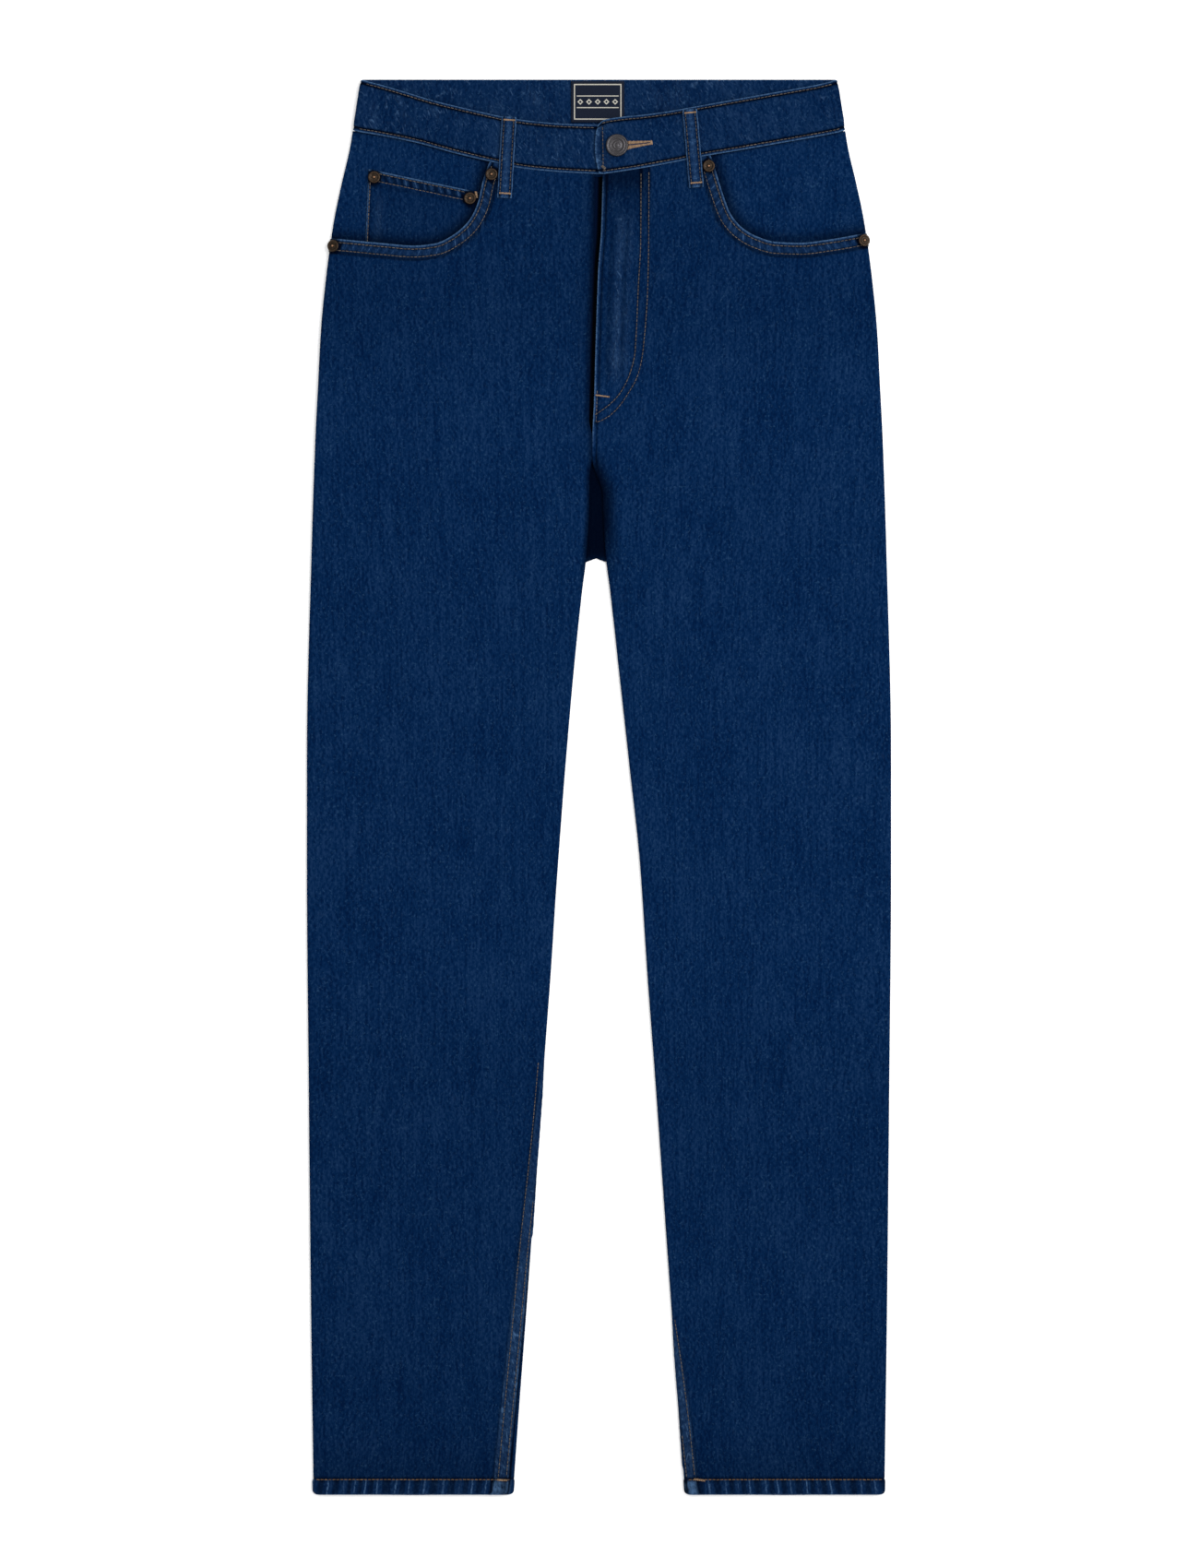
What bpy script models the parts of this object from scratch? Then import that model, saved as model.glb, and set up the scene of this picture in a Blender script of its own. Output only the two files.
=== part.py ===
"""Mom jeans laid flat, front up. Metres, +Z up, waist towards +Y, the wearer's left at +X."""

import math

import bpy
from mathutils import Vector

# Driving sizes, in millimetres
LENGTH = 1073.0
WALL = 1.2
SEAM_GAP = 0.3
BAND_GAP = 0.55
FOLD_REACH = 3.0
CROTCH_BACK = 364.0
POCKET_ROW = 172.0
HEM = 11.0
HEM_EXTRA = 0.5
MOUTH_HEM = 8.5
MOUTH_RAISE = 0.7
FELL_RAISE = 0.6
CORNER = 3.0
BAND_THICK = 2.4
BACK_BAND_Z = 1.3
FRONT_BAND_Z = 4.5
BAND_SIDE_TOP = 180.6
BAND_SIDE_FOOT = 186.6
OVERLAP_Z = 6.7
YOKE_SIDE = 84.0
YOKE_CENTRE = 112.0
YOKE_GAP = 0.22
HIP_HALF = 200.0
FACING_WALL = 1.1
FACING_Z = 3.0
FACING_REACH = -63.0
COIN_WALL = 1.0
COIN_HEM = 0.3
RIVET_GAP = 0.45
LOOP_WIDTH = 11.0
LOOP_WALL = 1.0
POCKET_WALL = 1.0
POCKET_WIDTH = 142.0
POCKET_TOP = 148.0
POCKET_HEIGHT = 150.0
POCKET_CENTRE = 97.0

SIDES = {"right": -1.0, "left": 1.0}

# Half outline of the hips and a leg: mm below the waist, side fold from the centre line
SIDE_FOLD = (
    (0.0, 180.0), (20.0, 184.2), (37.0, 186.5), (51.0, 188.7), (79.0, 195.2), (107.0, 201.0),
    (149.0, 206.9), (191.0, 211.0), (233.0, 213.2), (275.0, 215.3), (359.0, 218.1), (513.0, 221.6),
    (597.0, 221.6), (765.0, 220.2), (933.0, 218.5), (1073.0, 216.5),
)
# mm below the waist, inner edge of a leg from the line between the legs
INNER_FOLD = (
    (294.0, 4.6), (326.0, 5.1), (364.0, 7.6), (387.0, 10.5), (429.0, 15.1), (513.0, 23.5),
    (597.0, 31.2), (681.0, 36.8), (765.0, 43.1), (849.0, 49.0), (933.0, 55.0), (1017.0, 61.3),
    (1073.0, 65.2),
)
# mm below the waist, the line between the legs from the centre line
LEG_LINE = (
    (0.0, 0.0), (200.0, -1.5), (290.0, -2.3), (430.0, -2.1), (520.0, -1.2), (600.0, 0.0), (1073.0, 0.0),
)
# mm below the waist, centre edge of each front panel from the centre line
CENTRE_EDGE = {
    "right": (
        (60.0, -3.2), (114.0, -3.8), (142.0, -4.8), (201.0, -6.6), (244.0, -7.6), (258.0, -7.8),
        (272.0, -5.3), (294.0, -5.5),
    ),
    "left": (
        (60.0, 3.2), (114.0, 1.8), (142.0, -0.3), (201.0, -2.4), (244.0, -3.6), (270.0, -4.8), (290.0, -5.0),
    ),
}
# mm below the waist, width of the doubled cloth beside the centre edge
FLY_WIDTH = (
    (60.0, 34.8), (114.0, 36.0), (158.0, 37.0), (206.0, 35.6), (223.0, 32.6), (239.0, 25.0),
    (251.0, 16.0), (258.0, 8.0), (266.0, 5.0), (294.0, 5.0), (320.0, 11.0), (1073.0, 11.0),
)
PLAIN_WIDTH = ((60.0, 5.0), (294.0, 5.0), (320.0, 11.0), (1073.0, 11.0))
# mm below the waist, height of the side seam above the floor
SEAM_HEIGHT = (
    (0.0, 2.75), (121.0, 2.75), (172.0, 3.0), (260.0, 3.0), (300.0, 2.8), (364.0, 2.5), (500.0, 2.35),
    (1073.0, 2.3),
)
# mm below the waist, top of the front at the side fold
SIDE_TOP = (
    (60.0, 7.2), (121.0, 6.6), (172.0, 6.6), (260.0, 6.4), (300.0, 6.1), (364.0, 5.2), (500.0, 4.7),
    (1073.0, 4.5),
)
# mm below the waist, top of the front halfway across
MIDDLE_TOP = (
    (60.0, 7.6), (121.0, 7.45), (172.0, 6.9), (260.0, 6.0), (300.0, 5.6), (364.0, 4.6), (500.0, 3.5),
    (1020.0, 3.5), (1062.0, 4.2), (1073.0, 4.3),
)
# mm below the waist, top of each front at its centre edge or inner fold
CENTRE_TOP = {
    "right": (
        (60.0, 5.9), (140.0, 5.8), (260.0, 5.9), (294.0, 5.6), (330.0, 5.0), (364.0, 4.9), (1073.0, 4.5),
    ),
    "left": (
        (60.0, 8.0), (100.0, 7.1), (172.0, 6.9), (260.0, 6.2), (294.0, 5.7), (330.0, 5.0), (364.0, 4.9),
        (1073.0, 4.5),
    ),
}
# mm below the waist, how far the back panels are lifted by the pockets under them
SEAT = ((0.0, 1.3), (318.0, 1.3), (352.0, 0.0), (1073.0, 0.0))
# Pocket mouth from the waistband to the side: mm from the centre line, mm below the waist
MOUTH = {
    "right": (
        (-83.0, 63.0), (-88.2, 78.0), (-91.8, 94.0), (-98.6, 107.6), (-111.0, 118.8), (-124.4, 125.0),
        (-140.3, 126.6), (-163.0, 124.8), (-186.0, 122.6), (-203.1, 121.0),
    ),
    "left": (
        (84.6, 58.0), (89.0, 72.0), (94.0, 88.0), (99.6, 102.5), (108.6, 113.2), (120.0, 119.8),
        (134.0, 123.8), (152.0, 124.5), (172.0, 122.3), (202.7, 116.9),
    ),
}
# Waistband below its seam: mm from the centre line, mm below the waist
BAND_SEAM = {
    "right": (
        (-186.1, 39.5), (-168.3, 42.4), (-138.9, 48.3), (-108.1, 56.7), (-77.3, 63.9), (-61.2, 67.4),
        (-32.0, 70.4), (-1.0, 72.0),
    ),
    "left": (
        (186.5, 39.5), (168.0, 43.2), (138.0, 48.6), (108.0, 53.9), (78.0, 59.0), (56.3, 63.4), (28.0, 68.6),
        (0.6, 72.7),
    ),
}
# Waistband on the front: x and depth of its top edge, x of its seam edge, height of its lower face
BAND_FRONT = {
    "right": (
        (34.0, 34.5, 34.0, 3.9), (16.0, 34.6, 16.0, 3.9), (-2.4, 34.5, -1.0, 4.1),
        (-26.2, 33.9, -28.0, 4.6), (-46.0, 32.4, -49.0, 5.1), (-66.0, 29.9, -70.0, 5.6),
        (-88.5, 25.2, -93.0, 5.6), (-108.0, 20.7, -113.0, 5.4), (-126.3, 16.1, -132.0, 5.2),
        (-145.0, 10.4, -151.0, 4.9), (-163.4, 4.9, -169.0, 4.7), (-175.0, 1.8, -181.0, 4.5),
    ),
    "left": (
        (-0.6, 33.0, 0.4, 6.6), (4.2, 31.0, 4.4, 6.7), (16.0, 29.0, 16.6, 6.7),
        (34.0, 27.2, 35.0, 6.6), (52.0, 24.7, 54.0, 6.2), (70.0, 21.5, 73.0, 5.8),
        (88.0, 18.2, 92.0, 5.6), (107.0, 14.8, 111.0, 5.4), (126.0, 11.4, 131.0, 5.2),
        (145.0, 8.0, 150.5, 4.9), (164.0, 4.6, 169.5, 4.7), (175.4, 1.9, 181.3, 4.5),
    ),
}
# Waistband on the back: x of its top edge and of its seam edge
BAND_BACK = (
    (-172.0, -177.0), (-130.0, -133.0), (-65.0, -66.0), (0.0, 0.0), (65.0, 66.0), (130.0, 133.0),
    (172.0, 177.0),
)
BACK_BAND_FOOT = 37.6
# Round each side fold: turn in degrees, then mm below the waist of the top fold and seam edge at its middle
# and how far each drops towards the front
BAND_TURNS = (70.0, 35.0, 0.0, -35.0, -70.0)
BAND_TURN_TOP = (0.35, 0.35)
BAND_TURN_FOOT = (38.6, 0.9)
BAND_EDGE_SOFT = 0.45
# Yoke top under the waistband: at the side fold, and across the back
YOKE_TOP_FOLD = 39.4
YOKE_TOP = 38.0
# Coin pocket corners in plan: mm from the centre line, mm below the waist
COIN_TOP = ((-174.4, 68.4), (-91.0, 86.0))
COIN_FOOT = ((-179.0, 168.0), (-98.0, 168.0))
# Rivets: side, mm from the centre line, mm below the waist, lean over the side fold in degrees
RIVETS = (
    ("rivet_right_inner", -81.4, 72.4, 0.0), ("rivet_right_side", -201.4, 126.6, 20.0),
    ("rivet_coin_side", -170.4, 74.4, 0.0), ("rivet_coin_inner", -97.8, 90.4, 0.0),
    ("rivet_left_inner", 83.2, 66.2, 0.0), ("rivet_left_side", 200.8, 122.4, -20.0),
)
# Lathe profiles: mm from the axis, mm above the foot
RIVET_PROFILE = (
    (0.0, 1.9), (0.75, 1.7), (1.3, 0.9), (2.4, 0.75), (3.4, 1.25), (4.3, 1.0), (4.65, 0.3), (4.4, 0.0),
    (0.0, 0.0),
)
SIDE_RIVET_LIFT = 0.3
LATHE_SEGMENTS = 20
BUTTON_PROFILE = (
    (0.0, 2.5), (1.6, 2.4), (2.4, 1.9), (4.2, 1.8), (4.8, 2.3), (5.6, 2.3), (6.2, 2.0),
    (7.4, 2.5), (8.2, 2.1), (8.5, 1.3), (8.0, 0.4), (7.0, 0.0), (0.0, 0.0),
)
BUTTON_PLACE = (13.6, 50.8)
BUTTON_LIFT = 1.1
# Buttonhole: ends of its slit, half widths at tail and button, section as share of the half width and height
HOLE_START = (20.6, 50.5)
HOLE_END = (39.6, 48.3)
HOLE_TAIL = 1.9
HOLE_HEAD = 3.6
HOLE_LIFT = 0.35
HOLE_END_DRAW = 1.6
HOLE_SEGMENTS = 24
HOLE_SECTION = ((1.0, 0.0), (1.0, 0.4), (0.75, 0.6), (0.35, 0.6), (0.15, 0.4), (0.15, 0.0))
# Zip: rows down the opening, tape edges and chain from the fly edge, tops above the floor
TAPE_ROWS = (74.0, 110.0, 150.0, 190.0, 230.0, 266.0)
TAPE_ACROSS = (-13.0, -6.0, 6.0, 17.0)
TAPE_TOP = 3.8
TAPE_WALL = 1.0
CHAIN_ROWS = (78.0, 84.0, 96.0, 98.0, 150.0, 200.0, 250.0)
CHAIN_PLACE = 8.0
CHAIN_HALF = 2.6
SLIDER_HALF = 4.2
SLIDER_END = 97.0
CHAIN_TOP = 4.8
CHAIN_WALL = 0.7
# Label inside the back of the waistband: rows below the waist, columns across
LABEL_ROWS = (1.6, 12.0, 22.0, 32.4)
LABEL_COLUMNS = (-21.0, -20.0, 0.0, 18.0, 19.0)
LABEL_WALL = 1.0
# Belt loops: section as share of the half width and of the wall
LOOP_SECTION = (
    (-1.0, 0.35), (-0.94, 0.8), (-0.8, 1.0), (0.8, 1.0), (0.94, 0.8), (1.0, 0.35), (0.94, 0.0), (-0.94, 0.0),
)
# Front loops: ends in plan, then share of the length, height of the underside, wall
FRONT_LOOPS = {
    "right": ((-68.0, 27.2), (-71.6, 90.4), (
        (0.0, 8.3, 2.0), (0.05, 8.5, 2.0), (0.12, 9.0, 1.4), (0.3, 9.4, 1.4), (0.5, 9.3, 1.4),
        (0.68, 8.9, 1.4), (0.86, 8.4, 1.4), (0.93, 8.0, 2.0), (1.0, 7.9, 2.0),
    )),
    "left": ((68.6, 21.6), (73.8, 82.4), (
        (0.0, 8.5, 2.0), (0.05, 8.7, 2.0), (0.12, 9.2, 1.4), (0.3, 9.5, 1.4), (0.5, 9.4, 1.4),
        (0.68, 9.0, 1.4), (0.86, 8.4, 1.4), (0.93, 8.2, 2.0), (1.0, 8.1, 2.0),
    )),
}
BACK_LOOPS = {
    "right": ((-84.0, 0.4), (-86.0, 54.0)),
    "centre": ((0.0, 0.4), (0.0, 54.0)),
    "left": ((84.0, 0.4), (86.0, 54.0)),
}
BACK_LOOP_ROWS = ((0.0, 0.0, LOOP_WALL), (1.0, 0.0, LOOP_WALL))
BACK_POCKET_TAPER = 0.88
BACK_POCKET_POINT = 26.0

SOFT = {"base": (0.010, 0.030, 0.075, 1.0), "metallic": 0.0, "roughness": 0.9}
DARK = {"base": (0.006, 0.014, 0.035, 1.0), "metallic": 0.0, "roughness": 0.9}
THREAD = {"base": (0.32, 0.15, 0.06, 1.0), "metallic": 0.0, "roughness": 0.8}
COPPER = {"base": (0.30, 0.17, 0.11, 1.0), "metallic": 1.0, "roughness": 0.4}
NICKEL = {"base": (0.16, 0.15, 0.16, 1.0), "metallic": 1.0, "roughness": 0.4}
BRASS = {"base": (0.45, 0.34, 0.16, 1.0), "metallic": 1.0, "roughness": 0.4}


def clear_scene():
    for old in list(bpy.data.objects):
        bpy.data.objects.remove(old, do_unlink=True)


def along(table, position, column=1):
    """Reads one column of a table at a position, smoothly between its rows and flat past its ends."""
    if position <= table[0][0]:
        return table[0][column]
    if position >= table[-1][0]:
        return table[-1][column]
    index = 0
    while table[index + 1][0] < position:
        index += 1
    start, end = table[index][0], table[index + 1][0]
    rise = (table[index + 1][column] - table[index][column]) / (end - start)
    before = rise
    after = rise
    if index > 0:
        before = (table[index][column] - table[index - 1][column]) / (start - table[index - 1][0])
    if index + 2 < len(table):
        after = (table[index + 2][column] - table[index + 1][column]) / (table[index + 2][0] - end)
    slope_start = 0.0 if before * rise <= 0.0 else 2.0 * before * rise / (before + rise)
    slope_end = 0.0 if after * rise <= 0.0 else 2.0 * after * rise / (after + rise)
    share = (position - start) / (end - start)
    span = end - start
    return (
        table[index][column] * (2 * share**3 - 3 * share**2 + 1)
        + slope_start * span * (share**3 - 2 * share**2 + share)
        + table[index + 1][column] * (3 * share**2 - 2 * share**3)
        + slope_end * span * (share**3 - share**2)
    )


def smooth(low, high, value):
    share = min(max((value - low) / (high - low), 0.0), 1.0)
    return share * share * (3.0 - 2.0 * share)


def mix(first, second, share):
    return first + (second - first) * share


def at(x, below, height):
    """A point from mm across, mm below the waist and mm above the floor."""
    return Vector((x, LENGTH / 2 - below, height))


def material(name, look):
    made = bpy.data.materials.new(name)
    made.use_nodes = True
    shader = made.node_tree.nodes["Principled BSDF"]
    shader.inputs["Base Color"].default_value = look["base"]
    shader.inputs["Metallic"].default_value = look["metallic"]
    shader.inputs["Roughness"].default_value = look["roughness"]
    return made


def add_solid(name, points, faces, look, shaded_smooth=False):
    """One closed mesh from points in mm, its faces turned out."""
    volume = 0.0
    for face in faces:
        for step in range(1, len(face) - 1):
            corner, second, third = points[face[0]], points[face[step]], points[face[step + 1]]
            volume += corner.dot(second.cross(third))
    if volume < 0.0:
        faces = [tuple(reversed(face)) for face in faces]
    mesh = bpy.data.meshes.new(name)
    mesh.from_pydata([point / 1000.0 for point in points], [], faces)
    mesh.validate()
    if shaded_smooth:
        mesh.shade_smooth()
    solid = bpy.data.objects.new(name, mesh)
    solid.data.materials.append(material(name, look))
    bpy.context.scene.collection.objects.link(solid)
    return solid


def add_sheet(name, rows, look):
    """A wall between its outer and inner points, each row a list of (outer, inner)."""
    count = len(rows[0])
    points = [pair[0] for row in rows for pair in row] + [pair[1] for row in rows for pair in row]
    inside = len(rows) * count
    faces = []
    for i in range(len(rows) - 1):
        for j in range(count - 1):
            corner = i * count + j
            faces.append((corner, corner + 1, corner + count + 1, corner + count))
            below = inside + corner
            faces.append((below, below + count, below + count + 1, below + 1))
    edge = list(range(count))
    edge += [i * count + count - 1 for i in range(1, len(rows))]
    edge += [(len(rows) - 1) * count + j for j in range(count - 2, -1, -1)]
    edge += [i * count for i in range(len(rows) - 2, 0, -1)]
    for here, there in zip(edge, edge[1:] + edge[:1]):
        faces.append((there, here, inside + here, inside + there))
    return add_solid(name, points, faces, look)


def fold_reach(rise):
    return min(FOLD_REACH, 1.2 * abs(rise))


def fold_point(edge, side, angle, seam, top):
    """Place across, height and outward direction on a fold rounding from its seam to its top or underside."""
    rise = top - seam
    reach = fold_reach(rise)
    across = edge - side * reach * (1.0 - math.cos(angle))
    height = seam + rise * math.sin(angle)
    out = Vector((side * math.cos(angle) / reach, 0.0, math.sin(angle) / rise))
    return across, height, out.normalized()


# Across a front panel from its side fold: how far in each column lies.
# "fold" and "inner" give a turn in degrees, "reach" and "corner" mm, "mouth" and "waist" a share
# of their run, "strip" mm from the edge of the doubled cloth
SIDE_REACH = 10.0
CORNER_REACH = 9.4
FRONT_COLUMNS = (
    ("fold", 0.0), ("fold", 32.0), ("fold", 60.0), ("fold", 90.0), ("reach", SIDE_REACH),
    ("mouth", 0.17), ("mouth", 0.32), ("mouth", 0.44), ("mouth", 0.54), ("mouth", 0.63), ("mouth", 0.72),
    ("mouth", 0.86), ("mouth", 1.0), ("corner", CORNER_REACH), ("waist", 0.5),
    ("strip", 0.6), ("strip", -0.6), ("inner", 90.0), ("inner", 60.0), ("inner", 32.0), ("inner", 0.0),
)
# Shares of the plain width taken by the columns under the pocket mouth and its corner
MOUTH_SHARE = 0.66
CORNER_SHARE = 0.71
LEG_ROWS = (
    318.0, 336.0, 352.0, 364.6, 376.0, 400.0, 440.0, 490.0, 545.0, 600.0, 655.0, 710.0, 765.0, 820.0,
    875.0, 930.0, 980.0, 1025.0, LENGTH - HEM - 0.8, LENGTH - HEM, LENGTH - 2.5, LENGTH,
)
FRONT_ROWS = (POCKET_ROW, 205.0, 232.0, 250.0, 262.0, 276.0, 288.0, 293.6, 297.0, 302.0) + LEG_ROWS
BACK_ROWS = (150.0, 205.0, 260.0, 302.0) + LEG_ROWS[:3] + (363.4,) + LEG_ROWS[3:]


def hem_inset(below):
    """How far the outline draws in at the rounded corners of a hem."""
    return CORNER * smooth(LENGTH - 2.6, LENGTH, below) * 0.5


def side_edge(side, below):
    return SIDES[side] * (along(SIDE_FOLD, below) - hem_inset(below))


def inner_edge(side, below):
    return along(LEG_LINE, below) + SIDES[side] * (along(INNER_FOLD, below) + hem_inset(below))


def front_centre(side, below):
    """Centre edge of a front panel above the crotch, inner fold below it."""
    turn = smooth(289.0, 297.0, below)
    return mix(along(CENTRE_EDGE[side], below), inner_edge(side, below), turn)


def strip_width(side, below):
    table = FLY_WIDTH if side == "left" else PLAIN_WIDTH
    return along(table, below)


def front_height(side, x, below):
    """Top of a front panel away from its folds."""
    outer, centre = side_edge(side, below), front_centre(side, below)
    share = abs(x - outer) / abs(centre - outer)
    middle = along(MIDDLE_TOP, below)
    edge = along(SIDE_TOP, below)
    inner = along(CENTRE_TOP[side], below)
    height = mix(edge, middle, smooth(0.0, 0.3, share))
    return mix(height, inner, smooth(0.62, 1.0, share))


def front_place(side, column, below):
    """Base point, outward direction and extra thickness of one point of a front panel."""
    kind, value = column
    sign = SIDES[side]
    outer, centre = side_edge(side, below), front_centre(side, below)
    strip = centre + sign * strip_width(side, below)
    hem = HEM_EXTRA * smooth(LENGTH - HEM - 0.8, LENGTH - HEM, below)
    if kind == "fold":
        seam = along(SEAM_HEIGHT, below) + SEAM_GAP / 2
        x, height, out = fold_point(outer, sign, math.radians(value), seam, along(SIDE_TOP, below))
        return at(x, below, height), out, hem
    if kind == "inner":
        return inner_place(side, value, below, hem)
    reach = outer - sign * SIDE_REACH
    if kind == "reach":
        x = reach
    elif kind == "mouth":
        x = mix(reach, strip, value * MOUTH_SHARE)
    elif kind == "corner":
        x = mix(reach, strip, CORNER_SHARE)
    elif kind == "waist":
        x = mix(reach, strip, mix(CORNER_SHARE, 1.0, value))
    else:
        x = strip + sign * value
    raised = strip_raise(side, below) if kind == "strip" and value < 0.0 else 0.0
    return at(x, below, front_height(side, x, below)), Vector((0.0, 0.0, 1.0)), max(raised, hem)


def strip_raise(side, below):
    """Extra thickness of the doubled cloth: the fly on the left front, the felled seam on each leg."""
    fly = 1.0 - smooth(262.0, 268.0, below) if side == "left" else 0.0
    return FELL_RAISE * max(fly, smooth(304.0, 320.0, below))


def inner_place(side, turn, below, hem):
    """A point on the inner fold of a leg, or beside the flat centre edge above the crotch."""
    sign = SIDES[side]
    centre = front_centre(side, below)
    angle = math.radians(turn)
    top = along(CENTRE_TOP[side], below)
    resting = along(SEAT, below) + WALL + 0.45
    free = along(SEAM_HEIGHT, below) + SEAM_GAP / 2
    seam = mix(resting, free, smooth(CROTCH_BACK, CROTCH_BACK + 12.0, below))
    x, height, out = fold_point(centre, -sign, angle, seam, top)
    flat_x = centre + sign * FOLD_REACH * (1.0 - math.cos(angle))
    share = smooth(286.0, 298.0, below)
    base = at(flat_x, below, top).lerp(at(x, below, height), share)
    raised = strip_raise(side, below)
    if turn < 50.0:
        raised *= 1.0 - share
    return base, Vector((0.0, 0.0, 1.0)).lerp(out, share).normalized(), max(raised, hem)


def wall_pair(base, out, extra, wall=WALL):
    return base + out * extra, base - out * wall


def path_lengths(path):
    lengths = [0.0]
    for here, there in zip(path, path[1:]):
        lengths.append(lengths[-1] + math.dist(here, there))
    return lengths


def path_point(path, distance):
    """Point and direction on a path of (x, below) at a distance along it."""
    lengths = path_lengths(path)
    table = [(length,) + tuple(point) for length, point in zip(lengths, path)]
    reach = min(max(distance, 0.0), lengths[-1])
    here = Vector((along(table, reach, 1), along(table, reach, 2)))
    ahead = min(reach + 0.5, lengths[-1])
    behind = max(reach - 0.5, 0.0)
    across = along(table, ahead, 1) - along(table, behind, 1)
    down = along(table, ahead, 2) - along(table, behind, 2)
    return here, Vector((across, down)).normalized()


def seam_below(side, x):
    """Mm below the waist of the waistband's seam edge at x."""
    return along(sorted(BAND_SEAM[side]), x)


def front_top_edge(side):
    """Upper boundary of a front panel: the pocket mouth from the side, then the waistband seam."""
    mouth = list(reversed(MOUTH[side]))
    mouth[0] = (side_edge(side, mouth[0][1]), mouth[0][1])
    corner = mouth[-1][0]
    mouth[-1] = (corner, seam_below(side, corner) + BAND_GAP)
    centre = along(CENTRE_EDGE[side], 72.0)
    waist = []
    for step in range(7):
        x = mix(corner, centre, step / 6)
        waist.append((x, seam_below(side, x) + BAND_GAP))
    return mouth, waist


def front_top_point(side, column, mouth, waist):
    """Where a column meets the upper boundary, and the direction from there into the panel."""
    kind, value = column
    mouth_length = path_lengths(mouth)[-1]
    waist_length = path_lengths(waist)[-1]
    strip = strip_width(side, 72.0)
    if kind == "fold":
        here, run = path_point(mouth, FOLD_REACH * (1.0 - math.cos(math.radians(value))))
    elif kind == "reach":
        here, run = path_point(mouth, value)
    elif kind == "mouth":
        here, run = path_point(mouth, mix(SIDE_REACH, mouth_length, value))
    elif kind == "corner":
        here, run = path_point(waist, value)
    elif kind == "waist":
        here, run = path_point(waist, mix(CORNER_REACH, waist_length - strip, value))
    elif kind == "strip":
        here, run = path_point(waist, waist_length - strip - value)
    else:
        here, run = path_point(waist, waist_length - FOLD_REACH * (1.0 - math.cos(math.radians(value))))
    into = Vector((-run.y, run.x)) * -SIDES[side]
    return here, into


def front_upper_rows(side):
    """Rows between the panel's upper boundary and the straight row under the pocket mouth."""
    mouth, waist = front_top_edge(side)
    rows = []
    for number, share in enumerate((0.0, 0.0, 0.0, 0.3, 0.62, 0.84)):
        row = []
        for column in FRONT_COLUMNS:
            kind = column[0]
            here, into = front_top_point(side, column, mouth, waist)
            distances = (0.0, 1.5, 2.3) if kind == "corner" else (0.0, MOUTH_HEM - 0.4, MOUTH_HEM + 0.4)
            foot = Vector((front_place(side, column, POCKET_ROW)[0].x, POCKET_ROW))
            plan = (here + into * distances[min(number, 2)]).lerp(foot, share)
            on_hem = number < 2 and kind in ("fold", "reach", "mouth")
            row.append(upper_pair(side, column, plan, MOUTH_RAISE if on_hem else 0.0))
        rows.append(row)
    return rows


def upper_pair(side, column, plan, raised):
    """Outer and inner point of a front panel at a plan point above the straight row."""
    kind, value = column
    if kind == "fold":
        seam = along(SEAM_HEIGHT, plan.y) + SEAM_GAP / 2
        edge, top = side_edge(side, plan.y), along(SIDE_TOP, plan.y)
        x, height, out = fold_point(edge, SIDES[side], math.radians(value), seam, top)
        return wall_pair(at(x, plan.y, height), out, raised)
    if side == "left" and (kind == "inner" or (kind == "strip" and value < 0.0)):
        raised = FELL_RAISE
    place = at(plan.x, plan.y, front_height(side, plan.x, plan.y))
    return wall_pair(place, Vector((0.0, 0.0, 1.0)), raised)


def build_front(side):
    rows = front_upper_rows(side)
    for below in FRONT_ROWS:
        row = []
        for column in FRONT_COLUMNS:
            base, out, extra = front_place(side, column, below)
            hem = smooth(LENGTH - HEM - 0.8, LENGTH - HEM, below)
            row.append(wall_pair(base, out, extra, WALL + HEM_EXTRA * hem))
        rows.append(row)
    return add_sheet("front_" + side, rows, SOFT)


# Across a back panel from its side fold
BACK_COLUMNS = (
    ("fold", 0.0), ("fold", 32.0), ("fold", 60.0), ("fold", 90.0), ("share", 0.16), ("share", 0.38),
    ("share", 0.6), ("share", 0.82), ("inner", 90.0), ("inner", 60.0), ("inner", 32.0), ("inner", 0.0),
)


def back_centre(side, below):
    """Centre seam of the back down to the crotch, inner fold of the leg below it."""
    seam = along(LEG_LINE, below) + SIDES[side] * SEAM_GAP / 2
    return mix(seam, inner_edge(side, below), smooth(CROTCH_BACK - 0.5, CROTCH_BACK + 0.5, below))


def back_pair(side, column, below):
    kind, value = column
    sign = SIDES[side]
    outer, centre = side_edge(side, below), back_centre(side, below)
    seat = along(SEAT, below)
    hem = HEM_EXTRA * smooth(LENGTH - HEM - 0.8, LENGTH - HEM, below)
    wall = WALL + hem
    angle = math.radians(value) if kind in ("fold", "inner") else 0.0
    seam = along(SEAM_HEIGHT, below) - SEAM_GAP / 2
    if kind == "fold":
        x, height, out = fold_point(outer, sign, angle, seam, seat)
        out = Vector((out.x, 0.0, -abs(out.z)))
        return wall_pair(at(x, below, height), out, 0.0, wall)
    if kind == "inner":
        x, height, out = fold_point(centre, -sign, angle, seam, seat)
        out = Vector((out.x, 0.0, -abs(out.z)))
        share = smooth(CROTCH_BACK - 2.0, CROTCH_BACK + 10.0, below)
        base = at(x, below, seat).lerp(at(x, below, height), share)
        out = Vector((0.0, 0.0, -1.0)).lerp(out, share).normalized()
        return wall_pair(base, out, 0.0, wall)
    x = mix(outer - sign * FOLD_REACH, centre + sign * FOLD_REACH, value)
    return wall_pair(at(x, below, seat), Vector((0.0, 0.0, -1.0)), 0.0, wall)


def yoke_seam(side, x):
    """Mm below the waist of the seam between yoke and back panel, a shallow V."""
    return mix(YOKE_CENTRE, YOKE_SIDE, abs(x) / HIP_HALF)


def column_x(side, column, below):
    return back_pair(side, column, below)[0].x


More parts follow.
